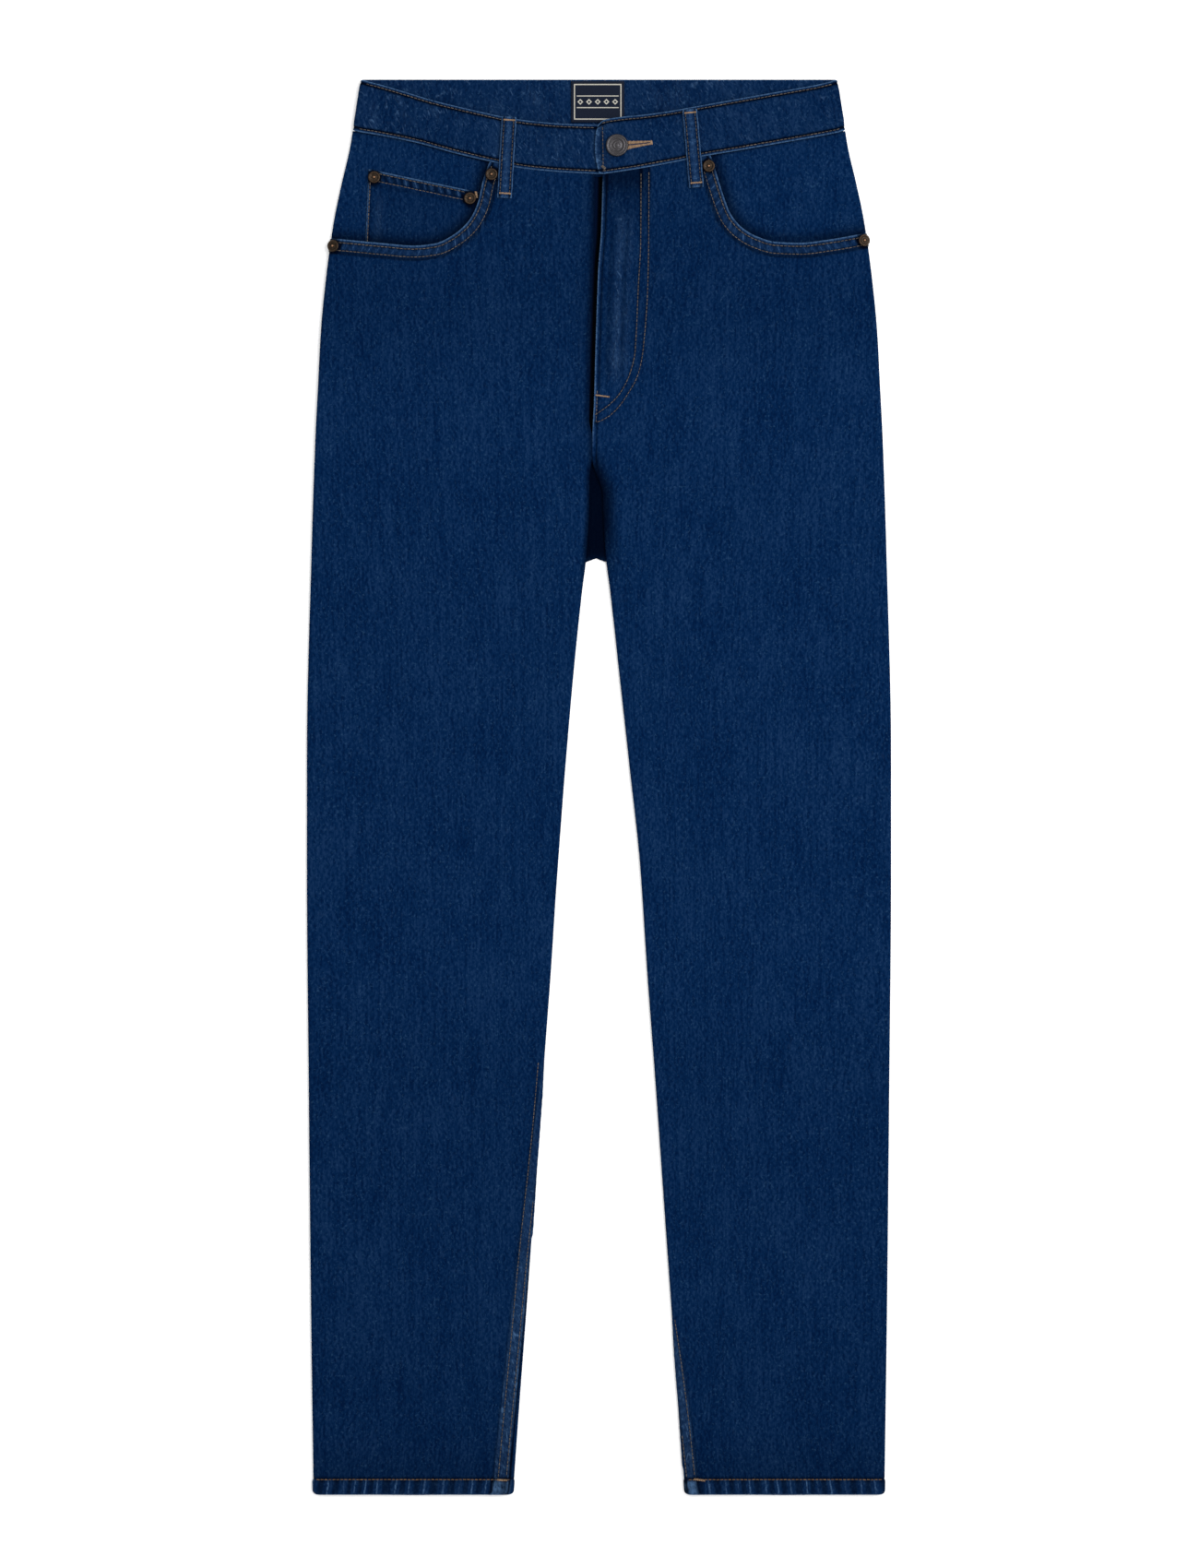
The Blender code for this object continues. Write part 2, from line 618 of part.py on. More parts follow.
def build_back(side):
    rows = []
    row = []
    for column in BACK_COLUMNS:
        below = yoke_seam(side, column_x(side, column, 100.0)) + YOKE_GAP
        row.append(back_pair(side, column, below))
    rows.append(row)
    for below in BACK_ROWS:
        rows.append([back_pair(side, column, below) for column in BACK_COLUMNS])
    return add_sheet("back_" + side, rows, SOFT)


def build_yoke(side):
    rows = []
    for share in (0.0, 0.35, 0.7, 1.0):
        row = []
        for column in BACK_COLUMNS:
            top = YOKE_TOP_FOLD if column[0] == "fold" else YOKE_TOP
            foot = yoke_seam(side, column_x(side, column, 100.0)) - YOKE_GAP
            row.append(back_pair(side, column, mix(top, foot, share)))
        rows.append(row)
    return add_sheet("yoke_" + side, rows, SOFT)


def facing_top(side, x, below):
    """Top face of the pocket facing, which climbs to the waistband's seam."""
    distance = below - seam_below(side, x)
    return FACING_Z + FACING_WALL + 1.0 * math.exp(-max(distance, 0.0) / 16.0)


FACING_COLUMNS = (
    ("fold", 0.0), ("fold", 32.0), ("fold", 60.0), ("fold", 90.0), ("share", 0.12), ("share", 0.3),
    ("share", 0.48), ("share", 0.66), ("share", 0.83), ("share", 1.0),
)


def facing_pair(side, column, below):
    kind, value = column
    sign = SIDES[side]
    mouth_end = MOUTH[side][-1][1]
    inset = 4.2 * smooth(mouth_end - 1.4, mouth_end - 0.6, below)
    outer = side_edge(side, below) - sign * inset
    seam = along(SEAM_HEIGHT, below) + SEAM_GAP / 2
    top = FACING_Z + FACING_WALL + 0.1
    free = smooth(mouth_end - 1.4, mouth_end - 0.6, below)
    if kind == "fold":
        x, height, out = fold_point(outer, sign, math.radians(value), seam, top)
        base = at(x, below, height).lerp(at(x, below, top), free)
        out = out.lerp(Vector((0.0, 0.0, 1.0)), free).normalized()
        return wall_pair(base, out, 0.0, FACING_WALL)
    x = mix(outer - sign * FOLD_REACH, sign * -FACING_REACH, value)
    height = mix(top, facing_top(side, x, below), smooth(0.0, 0.3, value))
    return wall_pair(at(x, below, height), Vector((0.0, 0.0, 1.0)), 0.0, FACING_WALL)


def build_facing(side):
    mouth_end = MOUTH[side][-1][1]
    rows = []
    for share in (0.0, 0.12, 0.3, 0.55, 0.8):
        row = []
        for column in FACING_COLUMNS:
            x = facing_pair(side, column, 60.0)[0].x
            start = seam_below(side, x) + BAND_GAP
            row.append(facing_pair(side, column, mix(start, mouth_end - 1.5, share)))
        rows.append(row)
    for below in (mouth_end - 1.5, mouth_end - 0.5, 140.0, 160.0):
        rows.append([facing_pair(side, column, below) for column in FACING_COLUMNS])
    return add_sheet("pocket_facing_" + side, rows, SOFT)


def build_coin_pocket():
    rows = []
    for share in (0.0, 0.08, 0.1, 0.4, 0.7, 1.0):
        row = []
        for across in (0.0, 0.02, 0.25, 0.5, 0.75, 0.98, 1.0):
            top = Vector(COIN_TOP[0]).lerp(Vector(COIN_TOP[1]), across)
            foot = Vector(COIN_FOOT[0]).lerp(Vector(COIN_FOOT[1]), across)
            plan = top.lerp(foot, share)
            height = facing_top("right", plan.x, plan.y) + SEAM_GAP + COIN_WALL
            extra = COIN_HEM if share < 0.09 else 0.0
            row.append(wall_pair(at(plan.x, plan.y, height), Vector((0.0, 0.0, 1.0)), extra, COIN_WALL))
        rows.append(row)
    return add_sheet("coin_pocket", rows, SOFT)


def build_back_pocket(side):
    sign = SIDES[side]
    rows = []
    for share in (0.0, 0.35, 0.7, 1.0):
        row = []
        for across in (-1.0, -0.5, 0.0, 0.5, 1.0):
            half = POCKET_WIDTH / 2 * mix(1.0, BACK_POCKET_TAPER, share)
            foot = POCKET_HEIGHT - BACK_POCKET_POINT * abs(across)
            place = at(sign * POCKET_CENTRE + across * half, POCKET_TOP + foot * share, 0.0)
            row.append(wall_pair(place, Vector((0.0, 0.0, -1.0)), 0.0, POCKET_WALL))
        rows.append(row)
    return add_sheet("back_pocket_" + side, rows, SOFT)


def band_ring(top, foot, out, wall=BAND_THICK):
    """Section of the waistband: rounded at its top fold and its seam edge."""
    down = (foot - top).normalized()
    soft = BAND_EDGE_SOFT
    places = (
        (0.0, 0.5 * wall), (0.3 * soft, wall - soft), (soft + 0.4, wall), (-soft - 0.4, wall),
        (-0.3 * soft, wall - soft), (-0.0, 0.5 * wall), (-0.3 * soft, soft), (-soft - 0.4, 0.0),
        (soft + 0.4, 0.0), (0.3 * soft, soft),
    )
    ring = []
    for number, (along_width, height) in enumerate(places):
        start = foot if along_width < 0.0 or number == 5 else top
        ring.append(start + down * along_width + out * height)
    return ring


def add_rings(name, rings, look, shaded_smooth=False):
    """A closed solid through rings of points, capped at both ends."""
    count = len(rings[0])
    points = [point for ring in rings for point in ring]
    faces = []
    for i in range(len(rings) - 1):
        for j in range(count):
            after = (j + 1) % count
            here, ahead = i * count, (i + 1) * count
            faces.append((here + j, here + after, ahead + after, ahead + j))
    faces.append(tuple(reversed(range(count))))
    last = (len(rings) - 1) * count
    faces.append(tuple(range(last, last + count)))
    return add_solid(name, points, faces, look, shaded_smooth)


def band_front(side):
    """Rings of the front of the waistband, from its end at the centre to the side fold."""
    rings = []
    for x_top, top, x_foot, height in BAND_FRONT[side]:
        foot = seam_below(side, x_foot)
        upper, lower = at(x_top, top, height), at(x_foot, foot, height)
        rings.append(band_ring(upper, lower, Vector((0.0, 0.0, 1.0))))
    return rings


def band_turn(side):
    """Rings round a side fold, from the front to the back."""
    inner_radius = (FRONT_BAND_Z - BACK_BAND_Z - BAND_THICK) / 2
    middle = BACK_BAND_Z + BAND_THICK + inner_radius
    rings = []
    for turn in BAND_TURNS:
        angle = math.radians(turn)
        out = Vector((SIDES[side] * math.cos(angle), 0.0, math.sin(angle)))
        x_top = SIDES[side] * (BAND_SIDE_TOP - BAND_THICK - inner_radius)
        x_foot = SIDES[side] * (BAND_SIDE_FOOT - BAND_THICK - inner_radius)
        top = at(x_top, BAND_TURN_TOP[0] + BAND_TURN_TOP[1] * math.sin(angle), middle)
        foot = at(x_foot, BAND_TURN_FOOT[0] + BAND_TURN_FOOT[1] * math.sin(angle), middle)
        rings.append(band_ring(top + out * inner_radius, foot + out * inner_radius, out))
    return rings


def build_waistband():
    """One strip from the button end round the right side, back and left side to the buttonhole end."""
    rings = band_front("right") + band_turn("right")
    inner = BACK_BAND_Z + BAND_THICK
    for x_top, x_foot in BAND_BACK:
        upper, lower = at(x_top, 0.0, inner), at(x_foot, BACK_BAND_FOOT, inner)
        rings.append(band_ring(upper, lower, Vector((0.0, 0.0, -1.0))))
    left = band_front("left") + band_turn("left")
    rings += reversed(left)
    return add_rings("waistband", rings, SOFT)


def build_loop(name, start, end, heights):
    """A folded strip over the waistband: plan ends, then heights of its underside along it."""
    first, last = Vector(start), Vector(end)
    run = (last - first).normalized()
    side = Vector((-run.y, run.x))
    rings = []
    half = LOOP_WIDTH / 2
    for share, height, wall in heights:
        middle = first.lerp(last, share)
        ring = []
        for across, level in LOOP_SECTION:
            plan = middle + side * (across * half)
            ring.append(at(plan.x, plan.y, height + wall * level))
        rings.append(ring)
    return add_rings(name, rings, SOFT)


def lathe(name, profile, x, below, height, lean, look):
    """A round piece turned from its profile, standing at a point."""
    segments = LATHE_SEGMENTS
    points = [Vector((0.0, 0.0, profile[0][1]))]
    for radius, level in profile[1:-1]:
        for step in range(segments):
            angle = 2.0 * math.pi * step / segments
            points.append(Vector((radius * math.cos(angle), radius * math.sin(angle), level)))
    points.append(Vector((0.0, 0.0, profile[-1][1])))
    faces = []
    for step in range(segments):
        after = (step + 1) % segments
        faces.append((0, 1 + step, 1 + after))
        for ring in range(len(profile) - 3):
            low, high = 1 + ring * segments, 1 + (ring + 1) * segments
            faces.append((low + step, high + step, high + after, low + after))
        low = 1 + (len(profile) - 3) * segments
        faces.append((len(points) - 1, low + after, low + step))
    turn = math.radians(lean)
    placed = []
    for point in points:
        across = point.x * math.cos(turn) - point.z * math.sin(turn)
        level = point.x * math.sin(turn) + point.z * math.cos(turn)
        placed.append(Vector((across, point.y, level)) + at(x, below, height))
    return add_solid(name, placed, faces, look, True)


def build_rivets():
    for name, x, below, lean in RIVETS:
        side = "right" if x < 0.0 else "left"
        if name.startswith("rivet_coin"):
            height = facing_top(side, x, below) + SEAM_GAP + COIN_WALL + COIN_HEM + RIVET_GAP
        elif "_side" in name:
            height = along(SIDE_TOP, below) + MOUTH_RAISE + RIVET_GAP + SIDE_RIVET_LIFT
        else:
            height = front_height(side, x, below) + MOUTH_RAISE + RIVET_GAP
        lathe(name, RIVET_PROFILE, x, below, height, lean, COPPER)


def build_buttonhole():
    """A raised welt of thread round the slit, wide at the button and narrow at its tail."""
    height = OVERLAP_Z + BAND_THICK + HOLE_LIFT
    start, end = Vector(HOLE_START), Vector(HOLE_END)
    run = (end - start).normalized()
    side = Vector((-run.y, run.x))
    middle = start.lerp(end, 0.5)
    reach = (end - start).length / 2
    count = HOLE_SEGMENTS
    points = []
    for step in range(count):
        angle = 2.0 * math.pi * step / count
        half = mix(HOLE_TAIL, HOLE_HEAD, 0.5 - 0.5 * math.cos(angle))
        for share, level in HOLE_SECTION:
            along_slit = math.cos(angle) * (reach - HOLE_END_DRAW * (1.0 - share))
            plan = middle + run * along_slit + side * (math.sin(angle) * half * share)
            points.append(at(plan.x, plan.y, height + level))
    faces = []
    size = len(HOLE_SECTION)
    for i in range(count):
        ahead = (i + 1) % count
        for j in range(size):
            after = (j + 1) % size
            faces.append((i * size + j, i * size + after, ahead * size + after, ahead * size + j))
    return add_solid("buttonhole", points, faces, THREAD)


def flat_row(places, below, height, wall):
    """Pairs of a level sheet at one depth."""
    return [wall_pair(at(x, below, height), Vector((0.0, 0.0, 1.0)), 0.0, wall) for x in places]


def build_zip():
    rows = []
    for below in TAPE_ROWS:
        shift = along(CENTRE_EDGE["left"], below)
        rows.append(flat_row([shift + across for across in TAPE_ACROSS], below, TAPE_TOP, TAPE_WALL))
    add_sheet("zip_tape", rows, DARK)
    rows = []
    for below in CHAIN_ROWS:
        middle = along(CENTRE_EDGE["left"], below) + CHAIN_PLACE
        half = SLIDER_HALF if below < SLIDER_END else CHAIN_HALF
        rows.append(flat_row((middle - half, middle + half), below, CHAIN_TOP, CHAIN_WALL))
    add_sheet("zip_chain", rows, BRASS)


def build_label():
    height = BACK_BAND_Z + BAND_THICK + SEAM_GAP + LABEL_WALL
    rows = [flat_row(LABEL_COLUMNS, below, height, LABEL_WALL) for below in LABEL_ROWS]
    add_sheet("label", rows, DARK)


def build_loops():
    for side, (start, end, rows) in FRONT_LOOPS.items():
        build_loop("belt_loop_front_" + side, start, end, rows)
    for place, (start, end) in BACK_LOOPS.items():
        build_loop("belt_loop_back_" + place, start, end, BACK_LOOP_ROWS)


clear_scene()
for wearer_side in SIDES:
    build_back(wearer_side)
    build_yoke(wearer_side)
    build_back_pocket(wearer_side)
    build_facing(wearer_side)
    build_front(wearer_side)
build_coin_pocket()
build_waistband()
build_loops()
build_zip()
lathe("button", BUTTON_PROFILE, *BUTTON_PLACE, OVERLAP_Z + BAND_THICK + BUTTON_LIFT, 0.0, NICKEL)
build_buttonhole()
build_rivets()
build_label()
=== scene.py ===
import math

import bpy
import numpy as np
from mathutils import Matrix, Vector
from mathutils.bvhtree import BVHTree


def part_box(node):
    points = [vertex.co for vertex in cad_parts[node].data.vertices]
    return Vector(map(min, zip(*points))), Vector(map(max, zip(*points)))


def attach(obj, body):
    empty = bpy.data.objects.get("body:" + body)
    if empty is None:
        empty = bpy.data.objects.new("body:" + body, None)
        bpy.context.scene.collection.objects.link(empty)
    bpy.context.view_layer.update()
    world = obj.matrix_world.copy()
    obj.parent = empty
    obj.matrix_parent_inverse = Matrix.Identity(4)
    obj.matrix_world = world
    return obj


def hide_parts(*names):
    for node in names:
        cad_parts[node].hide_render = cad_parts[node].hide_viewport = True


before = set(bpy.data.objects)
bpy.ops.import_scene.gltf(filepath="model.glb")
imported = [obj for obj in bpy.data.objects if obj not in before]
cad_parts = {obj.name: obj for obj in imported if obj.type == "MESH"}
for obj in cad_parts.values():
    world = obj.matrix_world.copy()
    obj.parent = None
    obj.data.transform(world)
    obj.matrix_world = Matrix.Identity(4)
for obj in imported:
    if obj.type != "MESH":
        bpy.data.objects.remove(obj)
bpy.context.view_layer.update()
print("jeans: frame loaded")

# Everything below is in mm across (+ is the wearer's left), mm below the waist and mm above the floor.

garment = {
    "length": 1073.0, "wall": 1.2, "seamGap": 0.04, "hem": 11.4, "hemExtra": 0.6, "foldReach": 3.0,
    "mouthHem": 9.7, "mouthRaise": 0.8, "flyRaise": 0.75, "fellRaise": 0.75, "crotchBack": 364.0,
    "straightRow": 172.0, "backLift": 0.3, "hemCorner": 3.2,
}
sides = {"right": -1.0, "left": 1.0}

# mm below the waist, side fold from the centre line
sideFold = (
    (0.0, 180.0), (20.0, 184.2), (37.0, 186.5), (51.0, 188.7), (79.0, 195.2), (107.0, 201.0),
    (149.0, 206.9), (191.0, 211.0), (233.0, 213.2), (275.0, 215.3), (359.0, 218.1), (513.0, 221.6),
    (597.0, 221.6), (765.0, 220.2), (933.0, 218.5), (1073.0, 216.5),
)
# mm below the waist, inner edge of a leg from the line between the legs
innerFold = (
    (294.0, 4.6), (326.0, 5.1), (364.0, 7.6), (387.0, 10.5), (429.0, 15.1), (513.0, 23.5),
    (597.0, 31.2), (681.0, 36.8), (765.0, 43.1), (849.0, 49.0), (933.0, 55.0), (1017.0, 61.3),
    (1073.0, 65.2),
)
legLine = (
    (0.0, 0.0), (200.0, -1.5), (290.0, -2.3), (430.0, -2.1), (520.0, -1.2), (600.0, 0.0), (1073.0, 0.0),
)
centreEdge = {
    "right": (
        (60.0, -3.2), (114.0, -3.8), (142.0, -4.8), (201.0, -6.6), (244.0, -7.6), (258.0, -7.8),
        (272.0, -5.3), (294.0, -5.5),
    ),
    "left": (
        (60.0, 3.2), (114.0, 1.8), (142.0, -0.3), (201.0, -2.4), (244.0, -3.6), (270.0, -4.8), (290.0, -5.0),
    ),
}
seamHeight = (
    (0.0, 2.75), (121.0, 2.75), (172.0, 3.0), (260.0, 3.0), (300.0, 2.8), (364.0, 2.5), (500.0, 2.35),
    (1073.0, 2.3),
)
sideTop = (
    (60.0, 7.2), (121.0, 6.6), (172.0, 6.6), (260.0, 6.4), (300.0, 6.1), (364.0, 5.2), (500.0, 4.7),
    (1073.0, 4.5),
)
middleTop = (
    (60.0, 7.6), (121.0, 7.45), (172.0, 6.9), (260.0, 6.0), (300.0, 5.6), (364.0, 4.6), (500.0, 3.5),
    (1020.0, 3.5), (1062.0, 4.2), (1073.0, 4.3),
)
centreTop = {
    "right": (
        (60.0, 5.9), (140.0, 5.8), (260.0, 5.9), (294.0, 5.6), (330.0, 5.0), (364.0, 4.9), (1073.0, 4.5),
    ),
    "left": (
        (60.0, 8.0), (100.0, 7.1), (172.0, 6.9), (260.0, 6.2), (294.0, 5.7), (330.0, 5.0), (364.0, 4.9),
        (1073.0, 4.5),
    ),
}
seat = ((0.0, 1.3), (318.0, 1.3), (352.0, 0.0), (1073.0, 0.0))
# Pocket mouth from the waistband to the side
mouthEdge = {
    "right": (
        (-83.0, 63.0), (-88.2, 78.0), (-91.8, 94.0), (-98.6, 107.6), (-111.0, 118.8), (-124.4, 125.0),
        (-140.3, 126.6), (-163.0, 124.8), (-186.0, 122.6), (-203.1, 121.0),
    ),
    "left": (
        (84.6, 58.0), (89.0, 72.0), (94.0, 88.0), (99.6, 102.5), (108.6, 113.2), (120.0, 119.8),
        (134.0, 123.8), (152.0, 124.5), (172.0, 122.3), (202.7, 116.9),
    ),
}
bandSeam = {
    "right": (
        (-186.1, 39.5), (-168.3, 42.4), (-138.9, 48.3), (-108.1, 56.7), (-77.3, 63.9), (-61.2, 67.4),
        (-32.0, 70.4), (-1.0, 72.0),
    ),
    "left": (
        (0.6, 72.7), (28.0, 68.6), (56.3, 63.4), (78.0, 59.0), (108.0, 53.9), (138.0, 48.6), (168.0, 43.2),
        (186.5, 39.5),
    ),
}
# Waistband on the front: x and depth of its top edge, x of its seam edge, height of its lower face
bandFront = {
    "right": (
        (-175.0, 1.8, -181.0, 4.5), (-163.4, 4.9, -169.0, 4.7), (-145.0, 10.4, -151.0, 4.9),
        (-126.3, 16.1, -132.0, 5.2), (-108.0, 20.7, -113.0, 5.4), (-88.5, 25.2, -93.0, 5.6),
        (-66.0, 29.9, -70.0, 5.6), (-46.0, 32.4, -49.0, 5.1), (-26.2, 33.9, -28.0, 4.6),
        (-2.4, 34.5, -1.0, 4.1), (16.0, 34.6, 16.0, 3.9), (34.0, 34.5, 34.0, 3.9),
    ),
    "left": (
        (-0.6, 33.0, 0.4, 6.6), (4.2, 31.0, 4.4, 6.7), (16.0, 29.0, 16.6, 6.7), (34.0, 27.2, 35.0, 6.6),
        (52.0, 24.7, 54.0, 6.2), (70.0, 21.5, 73.0, 5.8), (88.0, 18.2, 92.0, 5.6), (107.0, 14.8, 111.0, 5.4),
        (126.0, 11.4, 131.0, 5.2), (145.0, 8.0, 150.5, 4.9), (164.0, 4.6, 169.5, 4.7),
        (175.4, 1.9, 181.3, 4.5),
    ),
}
bandBack = (
    (-172.0, -177.0), (-130.0, -133.0), (-65.0, -66.0), (0.0, 0.0), (65.0, 66.0), (130.0, 133.0),
    (172.0, 177.0),
)


def smooth(low, high, value):
    share = np.clip((np.asarray(value, float) - low) / (high - low), 0.0, 1.0)
    return share * share * (3.0 - 2.0 * share)


def mix(first, second, share):
    return first + (second - first) * share


def along(table, place, column=1):
    # smooth between the rows of a table, level past its ends
    rows = np.array([(row[0], row[column]) for row in table], float)
    x, y = rows[:, 0], rows[:, 1]
    rise = np.diff(y) / np.diff(x)
    slope = np.empty_like(y)
    slope[0], slope[-1] = rise[0], rise[-1]
    before, after = rise[:-1], rise[1:]
    same = before * after > 0.0
    slope[1:-1] = np.where(same, 2.0 * before * after / np.where(same, before + after, 1.0), 0.0)
    held = np.clip(np.asarray(place, float), x[0], x[-1])
    i = np.clip(np.searchsorted(x, held, side="right") - 1, 0, len(x) - 2)
    span = x[i + 1] - x[i]
    t = (held - x[i]) / span
    return (
        y[i] * (2 * t**3 - 3 * t**2 + 1) + slope[i] * span * (t**3 - 2 * t**2 + t)
        + y[i + 1] * (3 * t**2 - 2 * t**3) + slope[i + 1] * span * (t**3 - t**2)
    )


def fade(value, width):
    # one at nothing, falling away over a width in mm
    return np.exp(-((value / width) ** 2))


def bump(value, middle, width):
    return fade(np.asarray(value, float) - middle, width)


def pieceName(part, side, kind="Cloth"):
    return part + side.capitalize() + kind


def finePath(points, step=1.0):
    # a row of (x, below) made smooth and even
    corners = np.array(points, float)
    run = np.concatenate(([0.0], np.cumsum(np.hypot(*np.diff(corners, axis=0).T))))
    table = [(r, p[0], p[1]) for r, p in zip(run, corners)]
    places = np.linspace(0.0, run[-1], max(2, int(round(run[-1] / step)) + 1))
    return np.stack([along(table, places, 1), along(table, places, 2)], 1)


def nearPath(path, x, below):
    # distance from a path, run along it, and which side
    best = np.full(np.shape(x), 1e9)
    run, hand = np.zeros(np.shape(x)), np.ones(np.shape(x))
    start = 0.0
    for a, b in zip(path[:-1], path[1:]):
        step = b - a
        size = math.hypot(*step)
        t = np.clip(((x - a[0]) * step[0] + (below - a[1]) * step[1]) / size**2, 0.0, 1.0)
        dx, dy = x - a[0] - t * step[0], below - a[1] - t * step[1]
        distance = np.hypot(dx, dy)
        closer = distance < best
        best = np.where(closer, distance, best)
        run = np.where(closer, start + t * size, run)
        hand = np.where(closer, np.sign(step[0] * dy - step[1] * dx), hand)
        start += size
    return best, run, hand


def place3(x, below, height):
    x, below, height = np.broadcast_arrays(x, below, height)
    return np.stack([x, garment["length"] / 2 - below, height], -1).astype(float)


def unit(vectors):
    return vectors / np.maximum(np.linalg.norm(vectors, axis=-1, keepdims=True), 1e-9)


def linkPiece(name, data):
    piece = bpy.data.objects.new(name, data)
    bpy.context.scene.collection.objects.link(piece)
    return piece


def addMark(mesh, label, values):
    layer = mesh.attributes.new(label, "FLOAT", "POINT")
    layer.data.foreach_set("value", np.asarray(values, np.float32).ravel())


def cornersOf(mesh):
    corners = np.empty(len(mesh.loops), np.int32)
    mesh.loops.foreach_get("vertex_index", corners)
    return corners


def addClothMap(mesh, uv):
    layer = mesh.uv_layers.new(name="clothMap")
    layer.data.foreach_set("uv", (uv[cornersOf(mesh)] * 0.001).ravel())


def makeMesh(name, points, faces, uv, marks):
    # one closed mesh, points in mm, with its cloth map and its marks of wear and painted shade
    mesh = bpy.data.meshes.new(name)
    points = np.asarray(points, float).reshape(-1, 3) * 0.001
    faces = np.asarray(faces, np.int32)
    sizes = faces.shape[1]
    mesh.vertices.add(len(points))
    mesh.vertices.foreach_set("co", points.ravel())
    mesh.loops.add(faces.size)
    mesh.loops.foreach_set("vertex_index", faces.ravel())
    mesh.polygons.add(len(faces))
    mesh.polygons.foreach_set("loop_start", np.arange(0, faces.size, sizes, dtype=np.int32))
    mesh.update(calc_edges=True)
    mesh.shade_smooth()
    addClothMap(mesh, uv)
    for label, values in marks.items():
        addMark(mesh, label, values)
    return linkPiece(name, mesh)


def shellPiece(name, outer, inner, uv, marks, rounding=(0.4, 0.4, 0.4, 0.4), flip=False, insideMarks=None):
    # a wall between two grids, its four edges rounded by one more row
    rows, columns = outer.shape[:2]
    count = rows * columns
    grid = np.arange(count).reshape(rows, columns)
    a, b, c, d = grid[:-1, :-1], grid[:-1, 1:], grid[1:, 1:], grid[1:, :-1]
    top = np.stack([a, b, c, d], -1).reshape(-1, 4)
    under = np.stack([a, d, c, b], -1).reshape(-1, 4) + count
    edge = np.concatenate([grid[0, :-1], grid[:-1, -1], grid[-1, :0:-1], grid[:0:-1, 0]])
    away = np.zeros((rows, columns, 3))
    for number, (own, inside) in enumerate((
        ((0, slice(None)), (1, slice(None))), ((-1, slice(None)), (-2, slice(None))),
        ((slice(None), 0), (slice(None), 1)), ((slice(None), -1), (slice(None), -2)),
    )):
        away[own] += unit(outer[own] - outer[inside]) * rounding[number]
    middle = ((outer + inner) / 2 + away).reshape(-1, 3)[edge]
    mid = np.arange(len(edge)) + 2 * count
    ahead, midAhead = np.roll(edge, -1), np.roll(mid, -1)
    rimTop = np.stack([ahead, edge, mid, midAhead], -1)
    rimUnder = np.stack([midAhead, mid, edge + count, ahead + count], -1)
    faces = np.concatenate([top, under, rimTop, rimUnder])
    if flip:
        faces = faces[:, ::-1]
    points = np.concatenate([outer.reshape(-1, 3), inner.reshape(-1, 3), middle])
    flatUv = uv.reshape(-1, 2)
    allUv = np.concatenate([flatUv, flatUv, flatUv[edge]])
    allMarks = {}
    for label, values in marks.items():
        flat = np.broadcast_to(values, (rows, columns)).reshape(-1)
        inside = np.broadcast_to((insideMarks or {}).get(label, 0.0), (rows, columns)).reshape(-1)
        allMarks[label] = np.concatenate([flat, inside, flat[edge]])
    return makeMesh(name, points, faces, allUv, allMarks)


def ringPiece(name, rings, uv, marks):
    # a closed strip through rings of points, capped at both ends
    count, size = rings.shape[:2]
    grid = np.arange(count * size).reshape(count, size)
    ahead = np.roll(grid, -1, axis=1)
    side = np.stack([grid[:-1], ahead[:-1], ahead[1:], grid[1:]], -1).reshape(-1, 4)
    i = np.arange(size // 2 - 1)
    corners = (i, i + 1, size - 2 - i, size - 1 - i)
    first, last = (np.stack([line[k] for k in corners], -1) for line in (grid[0], grid[-1]))
    faces = np.concatenate([side, first[:, ::-1], last])
    return makeMesh(name, rings.reshape(-1, 3), faces, uv.reshape(-1, 2), marks)


def hemInset(below):
    # the hem's corners are quarter rounds
    radius = garment["hemCorner"]
    short = np.clip(below - garment["length"] + radius, 0.0, radius)
    return radius - np.sqrt(radius**2 - short**2)


def outerEdge(side, below):
    return sides[side] * (along(sideFold, below) - hemInset(below))


def innerEdge(side, below):
    return along(legLine, below) + sides[side] * (along(innerFold, below) + hemInset(below))


def frontCentre(side, below):
    low, high = (288.0, 316.0) if side == "left" else (288.0, 300.0)
    return mix(along(centreEdge[side], below), innerEdge(side, below), smooth(low, high, below))


def frontHeight(side, x, below):
    outer, centre = outerEdge(side, below), frontCentre(side, below)
    share = np.abs(x - outer) / np.abs(centre - outer)
    height = mix(along(sideTop, below), along(middleTop, below), smooth(0.0, 0.3, share))
    return mix(height, along(centreTop[side], below), smooth(0.62, 1.0, share))


def foldPoint(edge, side, angle, seam, top):
    rise = top - seam
    reach = np.minimum(garment["foldReach"], 1.2 * np.abs(rise))
    across = edge - side * reach * (1.0 - np.cos(angle))
    height = seam + rise * np.sin(angle)
    out = np.stack([side * np.cos(angle) / reach, np.zeros_like(rise + angle), np.sin(angle) / rise], -1)
    return across, height, unit(out)


def seamBelow(side, x):
    return along(bandSeam[side], x)


# Rows of sewing on the fronts, which the cloth sinks along and the threads follow
flyOuter = (
    (37.7, 66.5), (37.7, 79.1), (37.6, 118.0), (36.8, 158.2), (33.2, 206.5), (29.7, 223.3), (21.3, 239.4),
    (12.2, 251.3), (2.9, 258.3), (-3.4, 260.6),
)
flyInner = (
    (31.8, 67.6), (31.8, 79.1), (31.6, 121.8), (29.7, 158.2), (27.3, 206.5), (24.1, 221.2), (17.1, 236.3),
    (9.1, 245.7), (1.8, 251.3), (-3.8, 254.9),
)
